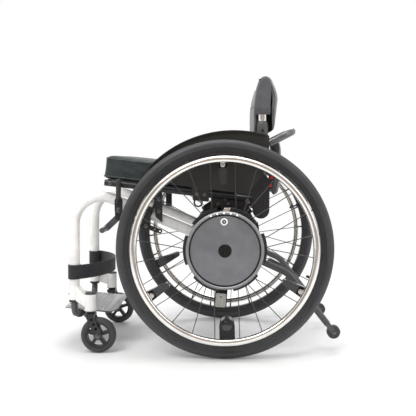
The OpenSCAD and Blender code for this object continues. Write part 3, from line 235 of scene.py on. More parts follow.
# Materials: one Principled shader each, with its detail made by nodes in the object's own metres
class Finish:
    def __init__(self, name, colour, rough, metal=0.0, **sockets):
        self.material = bpy.data.materials.new(name)
        self.material.use_nodes = True
        self.tree = self.material.node_tree
        self.shader = self.tree.nodes["Principled BSDF"]
        self.colour = colour
        sockets = {"Base Color": (*colour, 1), "Roughness": rough, "Metallic": metal, **sockets}
        for socket, value in sockets.items():
            self.shader.inputs[socket.replace("_", " ")].default_value = value
        self.where = self.node("ShaderNodeTexCoord").outputs["Object"]
        self.normal = None

    def node(self, kind, **inputs):
        made = self.tree.nodes.new(kind)
        for socket, value in inputs.items():
            self.feed(made.inputs[socket.replace("_", " ")], value)
        return made

    def feed(self, socket, value):
        if isinstance(value, bpy.types.NodeSocket):
            self.tree.links.new(value, socket)
        else:
            socket.default_value = value

    def operate(self, kind, operation, a, b):
        made = self.tree.nodes.new(kind)
        made.operation = operation
        self.feed(made.inputs[0], a)
        self.feed(made.inputs[1], b)
        return made.outputs

    def math(self, operation, a, b=0.0):
        return self.operate("ShaderNodeMath", operation, a, b)[0]

    def vector(self, operation, a, b=(0, 0, 0)):
        made = self.operate("ShaderNodeVectorMath", operation, a, b)
        return made["Value" if operation in ("LENGTH", "DOT_PRODUCT") else "Vector"]

    def spread(self, value, low, high, to_low=0.0, to_high=1.0):
        """Value carried from one range over to another."""
        made = self.node(
            "ShaderNodeMapRange", Value=value, From_Min=low, From_Max=high, To_Min=to_low, To_Max=to_high
        )
        return made.outputs["Result"]

    def noise(self, size_mm, detail=3.0, where=None, stretch=None):
        """Noise whose blobs are about size_mm across."""
        where = where or self.where
        if stretch:
            where = self.vector("MULTIPLY", where, stretch)
        made = self.node("ShaderNodeTexNoise", Vector=where, Scale=1 / (size_mm * MM), Detail=detail)
        return made.outputs["Fac"]

    def stripes(self, value, pitch_mm):
        """Smooth 0 to 1 stripes along a value in metres."""
        wave = self.math("SINE", self.math("MULTIPLY", value, 2 * pi / (pitch_mm * MM)))
        return self.math("MULTIPLY_ADD", wave, 0.5)

    def axes(self):
        made = self.node("ShaderNodeSeparateXYZ", Vector=self.where)
        return [made.outputs[axis] for axis in "XYZ"]

    def radius(self, centre=None):
        """Distance from the drive axle's line, or from a line beside it through centre."""
        x, _, z = centre or (AXLE_X, 0, AXLE_Z)
        flat = self.vector("MULTIPLY", self.vector("SUBTRACT", self.where, (x, 0, z)), (1, 0, 1))
        return self.vector("LENGTH", flat)

    def edges(self, size_mm):
        """Mask of convex and concave edges, 0 on flat faces."""
        made = self.node("ShaderNodeBevel", Radius=size_mm * MM)
        made.samples = 4
        plain = self.node("ShaderNodeNewGeometry").outputs["Normal"]
        same = self.vector("DOT_PRODUCT", made.outputs["Normal"], plain)
        return self.spread(same, 0.97, 0.75)

    def tint(self, mask, other):
        """Base colour that goes to another colour where the mask is 1."""
        made = self.tree.nodes.new("ShaderNodeMix")
        made.data_type = "RGBA"
        socket = self.shader.inputs["Base Color"]
        before = socket.links[0].from_socket if socket.is_linked else (*self.colour, 1)
        self.feed(made.inputs["A"], before)
        self.feed(made.inputs["B"], (*other, 1))
        self.feed(made.inputs["Factor"], mask)
        self.feed(socket, made.outputs["Result"])
        return self

    def mottle(self, size_mm, amount):
        """Uneven colour: darker and lighter by amount, a share of the colour."""
        mask = self.spread(self.noise(size_mm), 0.35, 0.65)
        low = tuple(c * (1 - amount) for c in self.colour)
        high = tuple(min(c * (1 + amount), 1.0) for c in self.colour)
        self.shader.inputs["Base Color"].default_value = (*low, 1)
        self.colour = low
        return self.tint(mask, high)

    def rough(self, mask, low, high):
        self.feed(self.shader.inputs["Roughness"], self.spread(mask, 0.3, 0.7, low, high))

    def bump(self, height, depth_mm, strength):
        made = self.node("ShaderNodeBump", Strength=strength, Distance=depth_mm * MM, Height=height)
        if self.normal:
            self.feed(made.inputs["Normal"], self.normal)
        self.normal = made.outputs["Normal"]
        self.feed(self.shader.inputs["Normal"], self.normal)


def satin(name, colour, rough, grain_mm=0.5, edge_highlight=None, **sockets):
    """Painted, anodised or moulded surface with a fine grain, its edges made lighter as a painted
    highlight.
    """
    f = Finish(name, colour, rough, **sockets).mottle(40, 0.1)
    f.rough(f.noise(6), rough - 0.05, rough + 0.07)
    f.bump(f.noise(grain_mm), 0.02, 0.5)
    # Painted highlight: the given colour lightens the edges, unevenly along them.
    if edge_highlight:
        mask = f.math("MULTIPLY", f.edges(0.9), f.spread(f.noise(3), 0.4, 0.7, 0.15, 0.8))
        f.tint(mask, edge_highlight)
    return f.material


def rubber(name, colour, rough, centre=None, ribs_mm=2.4):
    """Rubber with faint moulded rings round its axle, and edges made lighter as a painted highlight."""
    f = Finish(name, colour, rough, Specular_IOR_Level=0.45).mottle(60, 0.14)
    f.rough(f.noise(9), rough - 0.06, rough + 0.1)
    f.bump(f.stripes(f.radius(centre), ribs_mm), 0.05, 0.35)
    f.bump(f.noise(0.8), 0.04, 0.4)
    # Painted highlight: the edges are lightened where light catches the shoulders.
    f.tint(f.math("MULTIPLY", f.edges(1.2), 0.35), tuple(c * 2.2 for c in colour))
    return f.material


def metal(name, colour, rough, turned=False, grain=(1, 1, 1), depth=0.012, black_within=None):
    """Bare metal with brushing: concentric lines where turned, else drawn out along an axis.

    It is painted black nearer the drive axle than black_within, in metres.
    """
    f = Finish(name, colour, rough, 1.0).mottle(25, 0.05)
    if turned:
        ring = f.node("ShaderNodeCombineXYZ", X=f.radius(), Y=f.axes()[1]).outputs["Vector"]
        lines = f.noise(0.5, 2.0, where=ring)
    else:
        lines = f.noise(0.6, 2.0, stretch=grain)
    f.rough(lines, rough * 0.75, rough * 1.35)
    f.bump(lines, depth, 0.35)
    if black_within:
        f.tint(f.spread(f.radius(), black_within, black_within + 0.0006, 1.0, 0.0), (0.012, 0.012, 0.013))
    return f.material


def cloth(name, colour, pitch_mm, rough=0.85, fuzz=0.25, depth=0.18, plain=True):
    """Woven or knitted fabric: two sets of threads, uneven dye and a soft sheen."""
    f = Finish(name, colour, rough, Sheen_Weight=fuzz, Sheen_Roughness=0.45)
    f.mottle(18, 0.16)
    x, y, z = f.axes()
    first = f.stripes(f.math("ADD", x, y), pitch_mm)
    second = f.stripes(f.math("SUBTRACT", z, f.math("MULTIPLY", x, 0.35)), pitch_mm)
    threads = f.math("MULTIPLY", first, second) if plain else f.math("MAXIMUM", first, second)
    f.tint(f.math("MULTIPLY", threads, 0.3), tuple(min(c * 1.9, 1) for c in colour))
    f.bump(threads, depth, 0.6)
    f.bump(f.noise(7), 0.5, 0.25)
    return f.material


BARE_CANE_Z = 0.652


def tube_paint(name, colour, rough):
    """Metallic paint of the back tubes, black from the height where the canes leave their collars."""
    f = Finish(name, colour, rough, 0.55).mottle(40, 0.08)
    f.rough(f.noise(6), rough - 0.05, rough + 0.07)
    f.bump(f.noise(0.5), 0.02, 0.4)
    f.tint(f.spread(f.axes()[2], BARE_CANE_Z, BARE_CANE_Z + 0.003), (0.01, 0.01, 0.011))
    return f.material


tyre_rubber = rubber("tyre_rubber", (0.044, 0.045, 0.049), 0.42)
castor_middle = box_middle("castor_tyre_left")
roller_middle = box_middle("anti_tip_roller_left")
castor_rubber = rubber("castor_rubber", (0.045, 0.045, 0.047), 0.55, castor_middle, 1.6)
roller_rubber = rubber("roller_rubber", (0.045, 0.046, 0.048), 0.5, roller_middle, 1.5)
grip_rubber = satin("grip_rubber", (0.03, 0.03, 0.031), 0.68, 0.8)
# The fourth argument of satin, where given, is the colour of the painted highlight on the edges.
rim_black = satin("rim_black", (0.022, 0.022, 0.024), 0.32, 0.4, (0.16, 0.16, 0.17))
spoke_black = satin("spoke_black", (0.05, 0.05, 0.052), 0.3, 0.3)
shell_black = satin("shell_black", (0.014, 0.014, 0.015), 0.42, 0.6, (0.06, 0.06, 0.065))
cover_grey = satin("cover_grey", (0.165, 0.167, 0.18), 0.36, 0.35, (0.3, 0.3, 0.32), Metallic=0.25)
gloss_black = satin(
    "gloss_black", (0.008, 0.008, 0.008), 0.2, 0.9, (0.03, 0.03, 0.03), Specular_IOR_Level=0.3
)
moulded_black = satin("moulded_black", (0.018, 0.018, 0.019), 0.45, 0.7, (0.09, 0.09, 0.095))
fin_black = satin("fin_black", (0.022, 0.022, 0.024), 0.26, 0.7, (0.12, 0.12, 0.125), Coat_Weight=0.35)
lens_black = satin("lens_black", (0.01, 0.01, 0.011), 0.09, 0.9, (0.05, 0.05, 0.05), Coat_Weight=0.7)
paint_black = satin("paint_black", (0.016, 0.016, 0.018), 0.36, 0.5, (0.1, 0.1, 0.105))
paint_grey = satin("paint_grey", (0.075, 0.077, 0.082), 0.34, 0.5, (0.2, 0.2, 0.21))
bar_grey = tube_paint("bar_grey", (0.15, 0.152, 0.16), 0.26)
frame_white = satin("frame_white", (0.88, 0.86, 0.835), 0.2, 2.5, (0.9, 0.89, 0.87), Coat_Weight=0.4)
guard_black = satin("guard_black", (0.02, 0.0205, 0.018), 0.4, 0.8, (0.08, 0.08, 0.075))
handrim_steel = metal(
    "handrim_steel", (0.86, 0.845, 0.825), 0.14, turned=True, depth=0.006, black_within=0.2366
)
trim_steel = metal("trim_steel", (0.36, 0.36, 0.375), 0.4, turned=True)
chrome = metal("chrome", (0.9, 0.9, 0.9), 0.12, turned=True)
socket_silver = satin("socket_silver", (0.82, 0.82, 0.82), 0.32, 0.4, Metallic=0.35)
bright_steel = metal("bright_steel", (0.78, 0.78, 0.78), 0.18, grain=(1, 6, 1))
bolt_steel = metal("bolt_steel", (0.16, 0.16, 0.165), 0.34)
plate_alloy = satin("plate_alloy", (0.6, 0.575, 0.535), 0.34, 0.6, Metallic=0.45)
brushed_steel = metal("brushed_steel", (0.6, 0.6, 0.6), 0.3, grain=(6, 1, 1), depth=0.02)
foot_alloy = metal("foot_alloy", (0.36, 0.365, 0.375), 0.38, grain=(1, 0.08, 1), depth=0.03)
motor_iron = metal("motor_iron", (0.32, 0.2, 0.12), 0.45, grain=(1, 8, 1))
cell_wrap = satin("cell_wrap", (0.04, 0.1, 0.22), 0.35, 0.6)
red_metal = satin("red_metal", (0.55, 0.02, 0.02), 0.25, 0.5, (0.8, 0.25, 0.2), Metallic=0.6)
webbing = cloth("webbing", (0.018, 0.018, 0.022), 1.4, depth=0.25)
knit = cloth("knit", (0.022, 0.028, 0.028), 1.1, fuzz=0.35, depth=0.12)
knit_edge = cloth("knit_edge", (0.05, 0.055, 0.056), 0.9, fuzz=0.4, depth=0.1)
back_cloth = cloth("back_cloth", (0.21, 0.21, 0.222), 1.3, fuzz=0.3, depth=0.2, plain=False)
nylon = cloth("nylon", (0.016, 0.016, 0.018), 0.8, rough=0.6, fuzz=0.1, depth=0.08)
back_lining = cloth("back_lining", (0.012, 0.012, 0.014), 1.4, fuzz=0.1, depth=0.15)
back_binding = cloth("back_binding", (0.1, 0.1, 0.108), 0.9, fuzz=0.2, depth=0.1)
sleeve_cloth = cloth("sleeve_cloth", (0.07, 0.068, 0.075), 1.2, fuzz=0.25, depth=0.2, plain=False)
collar_grey = satin("collar_grey", (0.07, 0.075, 0.07), 0.4, 0.6, (0.16, 0.16, 0.16))
thread = cloth("thread", (0.05, 0.05, 0.055), 0.6, fuzz=0.2)
lamp_glass = satin(
    "lamp_glass", (0.9, 0.92, 0.95), 0.15, 0.8, Emission_Color=(0.9, 0.95, 1, 1), Emission_Strength=0.9
)

LOOKS = dict(
    tyre=tyre_rubber, rim=rim_black, spokes=spoke_black, handrim=handrim_steel, handrim_fins=fin_black,
    hub_shell=shell_black, hub_cover=cover_grey, trim_ring=trim_steel, charge_socket=socket_silver,
    axle_button=gloss_black, hub_bearings=brushed_steel, axle_pin=brushed_steel, stator=motor_iron,
    battery_pack=cell_wrap, sensor_block=gloss_black, side_frame=frame_white, axle_tube=paint_black,
    castor_caps=moulded_black, castor_fork=paint_black, castor_wheel=moulded_black,
    castor_tyre=castor_rubber, footrest_tube=paint_grey, footplate=foot_alloy, calf_strap=webbing,
    seat_frame=paint_black, seat_sling=nylon, cushion=knit, back_frame=bar_grey,
    back_upholstery=back_cloth, side_guard=guard_black, anti_tipper=paint_grey,
    anti_tip_roller=roller_rubber, lock_body=paint_black, lock_lever=paint_black, lock_shoe=paint_grey,
)
for name, obj in nodes.items():
    look = LOOKS[name.removesuffix("_left").removesuffix("_right")]
    if not obj.material_slots:
        obj.data.materials.append(look)
    for slot in obj.material_slots:
        slot.material = look
    smooth_shade(obj.data, 30)


# Stage: a pale floor that fades into a white surround, soft lamps and a dark card for the metal to reflect
def seen_rays(tree):
    """1 for the rays that show the background: camera, mirror and glass rays."""
    path = tree.nodes.new("ShaderNodeLightPath")
    total = path.outputs["Is Camera Ray"]
    for ray in ("Is Glossy Ray", "Is Transmission Ray"):
        made = tree.nodes.new("ShaderNodeMath")
        made.operation = "MAXIMUM"
        tree.links.new(total, made.inputs[0])
        tree.links.new(path.outputs[ray], made.inputs[1])
        total = made.outputs[0]
    return total


def make_world(light=0.55):
    """White to look at, and dimmer as a light."""
    world = bpy.data.worlds.new("studio")
    world.use_nodes = True
    tree = world.node_tree
    tree.nodes.clear()
    mix = tree.nodes.new("ShaderNodeMixShader")
    out = tree.nodes.new("ShaderNodeOutputWorld")
    tree.links.new(seen_rays(tree), mix.inputs[0])
    for i, strength in ((1, light), (2, 1.0)):
        white = tree.nodes.new("ShaderNodeBackground")
        white.inputs["Color"].default_value = (1, 1, 1, 1)
        white.inputs["Strength"].default_value = strength
        tree.links.new(white.outputs[0], mix.inputs[i])
    tree.links.new(mix.outputs[0], out.inputs[0])
    scene.world = world


def one_face(name, corners, finish):
    mesh = bpy.data.meshes.new(name)
    mesh.from_pydata(corners, [], [(0, 1, 2, 3)])
    mesh.materials.append(finish.material)
    return linked(name, mesh)


def make_floor(half=6.0):
    f = Finish("floor", (0.9, 0.9, 0.895), 0.55, Specular_IOR_Level=0.2).mottle(900, 0.01)
    far = f.vector("LENGTH", f.vector("MULTIPLY", f.where, (1, 1, 0)))
    white = f.node("ShaderNodeEmission")
    mix = f.node("ShaderNodeMixShader")
    share = f.math("MULTIPLY", f.spread(far, 0.75, 1.9), seen_rays(f.tree))
    f.feed(mix.inputs[0], share)
    f.feed(mix.inputs[1], f.shader.outputs[0])
    f.feed(mix.inputs[2], white.outputs[0])
    f.feed(f.tree.nodes["Material Output"].inputs["Surface"], mix.outputs[0])
    corners = [(-half, -half, 0), (half, -half, 0), (half, half, 0), (-half, half, 0)]
    floor = one_face("floor", corners, f)


def make_card(half=3, y=-1.75, foot=0.02, top=2.1):
    """Dark card between camera and chair, seen in reflections only."""
    f = Finish("card", (0.36, 0.3, 0.25), 0.9).mottle(500, 0.1)
    card = one_face("card", [(-half, y, foot), (half, y, foot), (half, y, top), (-half, y, top)], f)
    card.visible_camera = False
    card.visible_diffuse = False
    card.visible_shadow = False


def lamp(name, spot, aim, size, watts):
    data = bpy.data.lights.new(name, "AREA")
    data.shape = "DISK"
    data.size = size
    data.energy = watts
    obj = linked(name, data)
    obj.location = spot
    obj.rotation_euler = (Vector(aim) - Vector(spot)).to_track_quat("-Z", "Y").to_euler()


make_world()
make_floor()
make_card()
lamp("key", (-1.6, -2.2, 2.9), (0, 0, 0.35), 1.8, 62)
lamp("fill", (2.4, -1.8, 1.6), (0, 0, 0.4), 2.2, 22)
lamp("rear", (0.4, 2.6, 2.6), (0, 0, 0.4), 2.0, 40)
lamp("top", (0.2, -0.5, 3.2), (0, -0.1, 0.3), 2.4, 40)


# Soft goods
SEAT_TILT = radians(6.7)
SEAT_X = -340
SEAT_Z = 480


def on_seat(u, y, v):
    """Point over the seat rails: u rearward along them from their front ends, v above their middle."""
    x = SEAT_X + u * cos(SEAT_TILT) + v * sin(SEAT_TILT)
    z = SEAT_Z - u * sin(SEAT_TILT) + v * cos(SEAT_TILT)
    return at(x, y, z)


def curve_through(points, place):
    """Smooth value at a place between given (place, value) pairs, in rising order of place."""
    if place <= points[0][0]:
        return points[0][1]
    for k in range(len(points) - 1):
        here, then = points[k:k + 2]
        if place <= then[0]:
            before = points[max(k - 1, 0)]
            after = points[min(k + 2, len(points) - 1)]
            span = then[0] - here[0]
            t = (place - here[0]) / span
            rise_a = (then[1] - before[1]) / (then[0] - before[0]) * span
            rise_b = (after[1] - here[1]) / (after[0] - here[0]) * span
            return (
                (2 * t**3 - 3 * t**2 + 1) * here[1]
                + (t**3 - 2 * t**2 + t) * rise_a
                + (3 * t**2 - 2 * t**3) * then[1]
                + (t**3 - t**2) * rise_b
            )
    return points[-1][1]


def settle(obj):
    """Turns an object's modifiers into its own mesh."""
    bpy.context.view_layer.update()
    shaped = bpy.data.meshes.new_from_object(obj.evaluated_get(bpy.context.evaluated_depsgraph_get()))
    obj.modifiers.clear()
    old = obj.data
    obj.data = shaped
    bpy.data.meshes.remove(old)


def puff(obj, cap_mm, pressure=4.0, pinned=None, frames=20):
    """Swells a closed fabric form with Blender's cloth, no point moving further than cap_mm."""
    rest = [v.co.copy() for v in obj.data.vertices]
    swell = obj.modifiers.new("cloth", "CLOTH")
    fabric = swell.settings
    fabric.quality = 6
    fabric.mass = 0.3
    fabric.use_pressure = True
    fabric.uniform_pressure_force = pressure
    fabric.effector_weights.gravity = 0
    fabric.tension_stiffness = 20
    fabric.compression_stiffness = 20
    fabric.bending_stiffness = 2
    if pinned:
        group = obj.vertex_groups.new(name="sewn")
        group.add(sorted(pinned), 1.0, "REPLACE")
        fabric.vertex_group_mass = "sewn"
    swell.point_cache.frame_start = 1
    swell.point_cache.frame_end = frames
    for step in range(1, frames + 1):
        scene.frame_set(step)
    swollen = obj.evaluated_get(bpy.context.evaluated_depsgraph_get()).to_mesh()
    moved = [v.co.copy() for v in swollen.vertices]
    obj.modifiers.remove(swell)
    obj.vertex_groups.clear()
    scene.frame_set(1)
    for v, before, after in zip(obj.data.vertices, rest, moved):
        shift = after - before
        if shift.length > cap_mm * MM:
            shift *= cap_mm * MM / shift.length
        v.co = before + shift
    obj.data.update()


def soften(obj):
    """One level of subdivision, made part of the mesh."""
    soft = obj.modifiers.new("soft", "SUBSURF")
    soft.levels = 1
    settle(obj)
    smooth_shade(obj.data, 60)


def lay_on(obj, path, lift_mm):
    """Path moved onto the nearest place of a soft form's surface, standing lift_mm proud."""
    hits = [obj.closest_point_on_mesh(p) for p in path]
    return [spot + normal * lift_mm * MM for _, spot, normal, _ in hits]


CUSHION_L = 382.5
CUSHION_MID = 180.25
CUSHION_HW = 189
CUSHION_LOW = 12.2
CUSHION_H = 61


def cushion_outline(inset, v):
    """Closed path round the cushion at height v over the rails."""
    corner = max(12 - inset, 4)
    around = flat_section(CUSHION_L - 2 * inset, 2 * (CUSHION_HW - inset), corner, 8)
    return [(CUSHION_MID + u, y, v) for u, y in around]


def spaced(path, step_mm):
    """Closed path of (u, y, v) with extra points so that none are further apart than step_mm."""
    out = []
    points = [Vector(p) for p in path]
    for a, b in zip(points, points[1:] + points[:1]):
        parts = max(1, ceil((b - a).length / step_mm))
        out += [a.lerp(b, j / parts) for j in range(parts)]
    return out


def make_cushion():
    layers = [(14, 0), (3, 0.4), (0, 3)]
    layers += [(1.5 * sin(pi * k / 6), 3 + (CUSHION_H - 7) * k / 6) for k in range(1, 6)]
    layers += [(0, CUSHION_H - 4), (2, CUSHION_H - 1), (9, CUSHION_H + 0.5)]
    layers += [(9 + 152 * k / 8, CUSHION_H + 0.5 + 3 * sin(pi / 2 * k / 8)) for k in range(1, 9)]
    rings = [[on_seat(*p) for p in cushion_outline(inset, CUSHION_LOW + v)] for inset, v in layers]
    form = mesh_object("cushion_cover", [loft(rings)], knit)
    voxels = form.modifiers.new("voxels", "REMESH")
    voxels.mode = "VOXEL"
    voxels.voxel_size = 5 * MM
    settle(form)
    puff(form, 5)
    floor_at = on_seat(0, 0, CUSHION_LOW)
    up = (on_seat(0, 0, 1) - on_seat(0, 0, 0)).normalized()
    for v in form.data.vertices:
        below = (v.co - floor_at).dot(up)
        if below < 0:
            v.co -= up * below
    soften(form)
    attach(form, "frame")
    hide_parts("cushion")
    for label, v, inset in (("top", CUSHION_H - 2, 2), ("low", 5, 0)):
        path = [on_seat(*p) for p in spaced(cushion_outline(inset, CUSHION_LOW + v), 6)]
        cord = sweep(lay_on(form, path, 0.5), round_section(1.9, 10), closed=True)
        piece("cushion_piping_" + label, [cord], knit_edge, "frame")
    for side, label in SIDES:
        corner = [on_seat(-3, side * 184, CUSHION_LOW + v) for v in range(8, CUSHION_H - 3, 4)]
        seam = sweep(lay_on(form, corner, 0.1), round_section(0.9, 8))
        piece("cushion_seam_" + label, [seam], thread, "frame")
    zip_path = lay_on(form, [on_seat(378, y, CUSHION_LOW + 30) for y in range(-150, 151, 6)], 0.2)
    tape = sweep(zip_path, flat_section(1.2, 12, 0.5, 2), up=up)
    teeth = sweep([p + Vector((0.9 * MM, 0, 0)) for p in zip_path], flat_section(1.6, 3, 0.6, 2), up=up)
    piece("cushion_zip", [tape], nylon, "frame")
    piece("cushion_zip_teeth", [teeth], gloss_black, "frame")


make_cushion()


def smooth_line(points, count):
    """Points spread along a smooth line through the given ones."""
    tracks = [[(k, p[i]) for k, p in enumerate(points)] for i in range(len(points[0]))]
    last = len(points) - 1
    return [
        tuple(curve_through(track, last * j / (count - 1)) for track in tracks) for j in range(count)
    ]


# Back cover: padded panels; the upper one folds over the canes' tops and is open below
COVER_HW = 186
PAD_HW = 170
COVER_FACE = (
    (93, 468), (88, 494), (84, 524), (81.5, 560), (80.5, 600), (80.2, 640), (79.8, 672), (80.4, 700),
    (83.8, 727), (87.5, 745), (91, 759), (96.5, 772), (104, 780.5), (114, 784), (123, 782), (130, 776.5),
    (136, 765), (141.5, 752), (146, 739), (148.7, 726), (149, 713), (147.3, 699), (145.5, 685),
    (144, 672), (142.5, 652), (141.5, 632),
)
PAD_FACE = (
    (148, 604), (154, 598), (158, 587), (160, 570), (160.5, 548), (160, 522), (158, 494), (155, 468),
    (150, 450), (142, 440),
)
COVER_THICK = ((0, 9), (0.55, 9), (0.7, 15), (0.86, 14), (0.95, 9), (1, 9))
PAD_THICK = ((0, 10), (0.6, 13), (1, 15))
COVER_EDGE = 8
COVER_SEAMS = (0.3, 0.46, 0.62, 0.78)


def cover_ring(line, y, hw, share, thick, belly):
    """Closed ring of a panel at one place across the back: its outer side, then its inner side."""
    outer, inner = [], []
    last = len(line) - 1
    bow = 1 - (y / hw) ** 2
    for k, (x, z) in enumerate(line):
        along = (Vector(line[min(k + 1, last)]) - Vector(line[max(k - 1, 0)])).normalized()
        hem = min(1, 0.35 + min(k, last - k) / 5)
        deep = curve_through(thick, k / last) / 2
        half = deep * hem * share
        x += (belly[0] + (belly[1] - belly[0]) * k / last) * bow + along.y * deep
        z -= along.x * deep
        outer.append(at(x - along.y * half, y, z + along.x * half))
        inner.append(at(x + along.y * half, y, z - along.x * half))
    return outer + inner[::-1]


def panel_skin(rings):
    """Skin over rings that run along one side of a panel and back along the other, ends closed."""
    n = len(rings[0]) // 2
    points, faces = loft(rings, "open")
    for start in (0, (len(rings) - 1) * 2 * n):
        for k in range(n - 1):
            faces.append((start + k, start + k + 1, start + 2 * n - 2 - k, start + 2 * n - 1 - k))
    return points, faces


def make_panel(name, face, n, hw, thick, belly, seams, lining):
    """Padded panel across the back, sewn along its edges and across at the seams."""
    line = smooth_line(face, n)
    places = [-1, -0.997, -0.985, -0.97, -0.955]
    places = places + [k / 23 for k in range(-21, 22)] + [-p for p in reversed(places)]
    rings = []
    for p in places:
        past = max(0, hw * abs(p) - (hw - COVER_EDGE)) / COVER_EDGE
        rings.append(cover_ring(line, hw * p, hw, max(sqrt(1 - past * past), 0.08), thick, belly))
    cover = mesh_object(name, [panel_skin(rings)], back_cloth)
    cover.data.materials.append(lining)
    count = len(cover.data.polygons)
    inside = [int(i % (2 * n) >= n and 4 <= i // (2 * n) < len(rings) - 5) for i in range(count)]
    cover.data.polygons.foreach_set("material_index", inside)
    rows = {round(f * (n - 1)) for f in seams} | {0, n - 1}
    sewn = set()
    for j, p in enumerate(places):
        for k in range(n):
            if abs(p) > 0.95 or k in rows:
                sewn |= {j * 2 * n + k, j * 2 * n + 2 * n - 1 - k}
    puff(cover, 4, pressure=3.0, pinned=sewn)
    soften(cover)
    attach(cover, "backrest")
    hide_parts("back_upholstery")
    stitches = []
    for f in seams:
        k = round(f * (n - 1))
        path = [rings[j][k] for j in range(4, len(rings) - 4)]
        stitches.append(sweep(lay_on(cover, path, 0.1), round_section(0.8, 6)))
    piece(name + "_stitches", stitches, thread, "backrest")
    for side, label in SIDES:
        end = rings[0] if side < 0 else rings[-1]
        edge = [(end[k] + end[2 * n - 1 - k]) / 2 for k in range(1, n - 1)]
        cord = sweep(edge, round_section(2.0, 10))
        piece(name + "_binding_" + label, [cord], back_binding, "backrest")


# Cane sleeves: (z, front x, rear x) from the hem up, each with hem lines and a rear seam
SLEEVE = (
    (673, 83.5, 127), (676, 82.5, 128), (682, 82.5, 128), (700, 83, 128), (722, 85.5, 129),
    (742, 89.5, 130), (758, 93.5, 130), (768, 98, 128), (775, 102, 125), (779, 108, 119),
)
SLEEVE_Y = 188
SLEEVE_HW = 14.5


def sleeve_ring(side, z, front, rear, inset=0.0, n=36):
    """Rounded box round a cane at one height."""
    hx = (rear - front) / 2 - inset
    hy = SLEEVE_HW - inset
    power = 0.55
    ring = []
    for k in range(n):
        a = 2 * pi * k / n
        c, s = cos(a), sin(a)
        x = (front + rear) / 2 + copysign(abs(c) ** power, c) * hx
        ring.append(at(x, side * SLEEVE_Y + copysign(abs(s) ** power, s) * hy, z))
    return ring


def make_sleeve(side, label):
    wall = 2.2
    rings = [sleeve_ring(side, z, a, b) for z, a, b in SLEEVE]
    rings += [sleeve_ring(side, z - 1.5 * wall, a, b, wall) for z, a, b in reversed(SLEEVE[1:-2])]
    rings.append(sleeve_ring(side, *SLEEVE[0], wall))
    points, faces = loft(rings, "joined")
    n = len(rings[0])
    top = len(SLEEVE) - 1
    faces = [f for f in faces if f[0] // n != top]
    faces += [tuple(j * n + k for k in range(n)) for j in (top, top + 1)]
    sleeve = mesh_object("cane_sleeve_" + label, [(points, faces)], sleeve_cloth)
    soften(sleeve)
    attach(sleeve, "backrest")
    lines = []
    for z in (677, 683, 689):
        path = lay_on(sleeve, sleeve_ring(side, z, 83, 129), 0.1)
        lines.append(sweep(path, round_section(0.7, 6), closed=True))
    rear_seam = [at(129, side * (SLEEVE_Y + 6), z) for z in range(676, 766, 6)]
    lines.append(sweep(lay_on(sleeve, rear_seam, 0.1), round_section(1.0, 6)))
    piece("cane_sleeve_stitches_" + label, lines, thread, "backrest")


CANE_X = 105.97
CANE_Y = 186


def make_collar(side, label):
    """Moulded collar that holds the push bar's end on a cane."""
    profile = [
        (10.1, 578), (15, 578), (16, 580), (16, 644), (15.4, 648), (12.4, 655), (11.6, 658), (10.1, 658),
    ]
    shapes = [hoop(profile, at(CANE_X, side * CANE_Y, 0), UP, 48)]
    rib_length = 0.05
    for k in range(8):
        a = 2 * pi * (k + 0.5) / 8
        foot = at(CANE_X + 15.6 * cos(a), side * CANE_Y + 15.6 * sin(a), 590)
        shapes.append(sweep([foot, foot + Vector((0, 0, rib_length))], flat_section(2.4, 1.6, 0.5, 2)))
    piece("push_bar_collar_" + label, shapes, collar_grey, "backrest", bevel=0.5)


# Calf strap: one band round both uprights and across behind the calves, its end sewn over itself
STRAP_Z = 223.5
STRAP_W = 41
STRAP_T = 3
POST_X = -433
POST_Y = 163
LOOP_R = 16.8
STRAP_MID_X = -580
STRAP_R = hypot(POST_X - STRAP_MID_X, POST_Y) + LOOP_R


def strap_line():
    """Middle line of the strap from one post's loop across to the other, in (x, y)."""
    half = atan2(POST_Y, POST_X - STRAP_MID_X)
    turns = [half + radians(300 - 12 * k) for k in range(26)]
    loop = [(POST_X + LOOP_R * cos(a), POST_Y + LOOP_R * sin(a)) for a in turns]
    across = [
        (STRAP_MID_X + STRAP_R * cos(half * t), STRAP_R * sin(half * t))
        for t in (1 - 2 * k / 56 for k in range(1, 56))
    ]
    return loop + across + [(x, -y) for x, y in reversed(loop)]


def make_strap():
    path = [at(x, y, STRAP_Z) for x, y in strap_line()]
    strip = sweep(path, flat_section(STRAP_T, STRAP_W, 1.2, 3), up=UP)
    band = mesh_object("calf_strap_band", [strip], webbing)
    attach(band, "frame")
    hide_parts("calf_strap")
    outer = STRAP_R + STRAP_T / 2 + 1.2
    patch = [
        at(STRAP_MID_X + outer * cos(a), outer * sin(a), STRAP_Z)
        for a in (radians(-38 + 26 * k / 14) for k in range(15))
    ]
    strip = sweep(patch, flat_section(2.2, 38, 0.9, 3), up=UP)
    flap = piece("calf_strap_flap", [strip], webbing, "frame")
    edges = []
    for z in (-17, 17):
        edges.append(sweep([p + Vector((0, 0, z * MM)) for p in path[26:-26]], round_section(1.75, 6)))
    binding = piece("calf_strap_binding", edges, thread, "frame")


SLING_HW = 190.5


def sling_height(y):
    """Middle of the sagging cloth over the rails' middle."""
    return 10.4 - 1.6 * (1 - (y / SLING_HW) ** 2)


def make_sling():
    """Seat sling stretched over the rails, with a hem at its front and rear edges."""
    u0, u1 = 6, 374
    hw = SLING_HW
    across = [hw * (k / 20 - 1) for k in range(41)]
    rings = []
    for j in range(41):
        u = u0 + (u1 - u0) * j / 40
        upper = [on_seat(u, y, sling_height(y) + 1.1) for y in across]
        rings.append(upper + [on_seat(u, y, sling_height(y) - 1.1) for y in reversed(across)])
    sling = mesh_object("seat_sling_cloth", [panel_skin(rings)], nylon)
    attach(sling, "frame")
    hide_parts("seat_sling")
    hems = []
    for u in (9, 371):
        line = [on_seat(u, y, sling_height(y)) for y in range(-188, 189, 8)]
        hems.append(sweep(line, flat_section(3.4, 8, 1.2, 2), up=(1, 0, 0)))
    trim = piece("seat_sling_hems", hems, nylon, "frame")


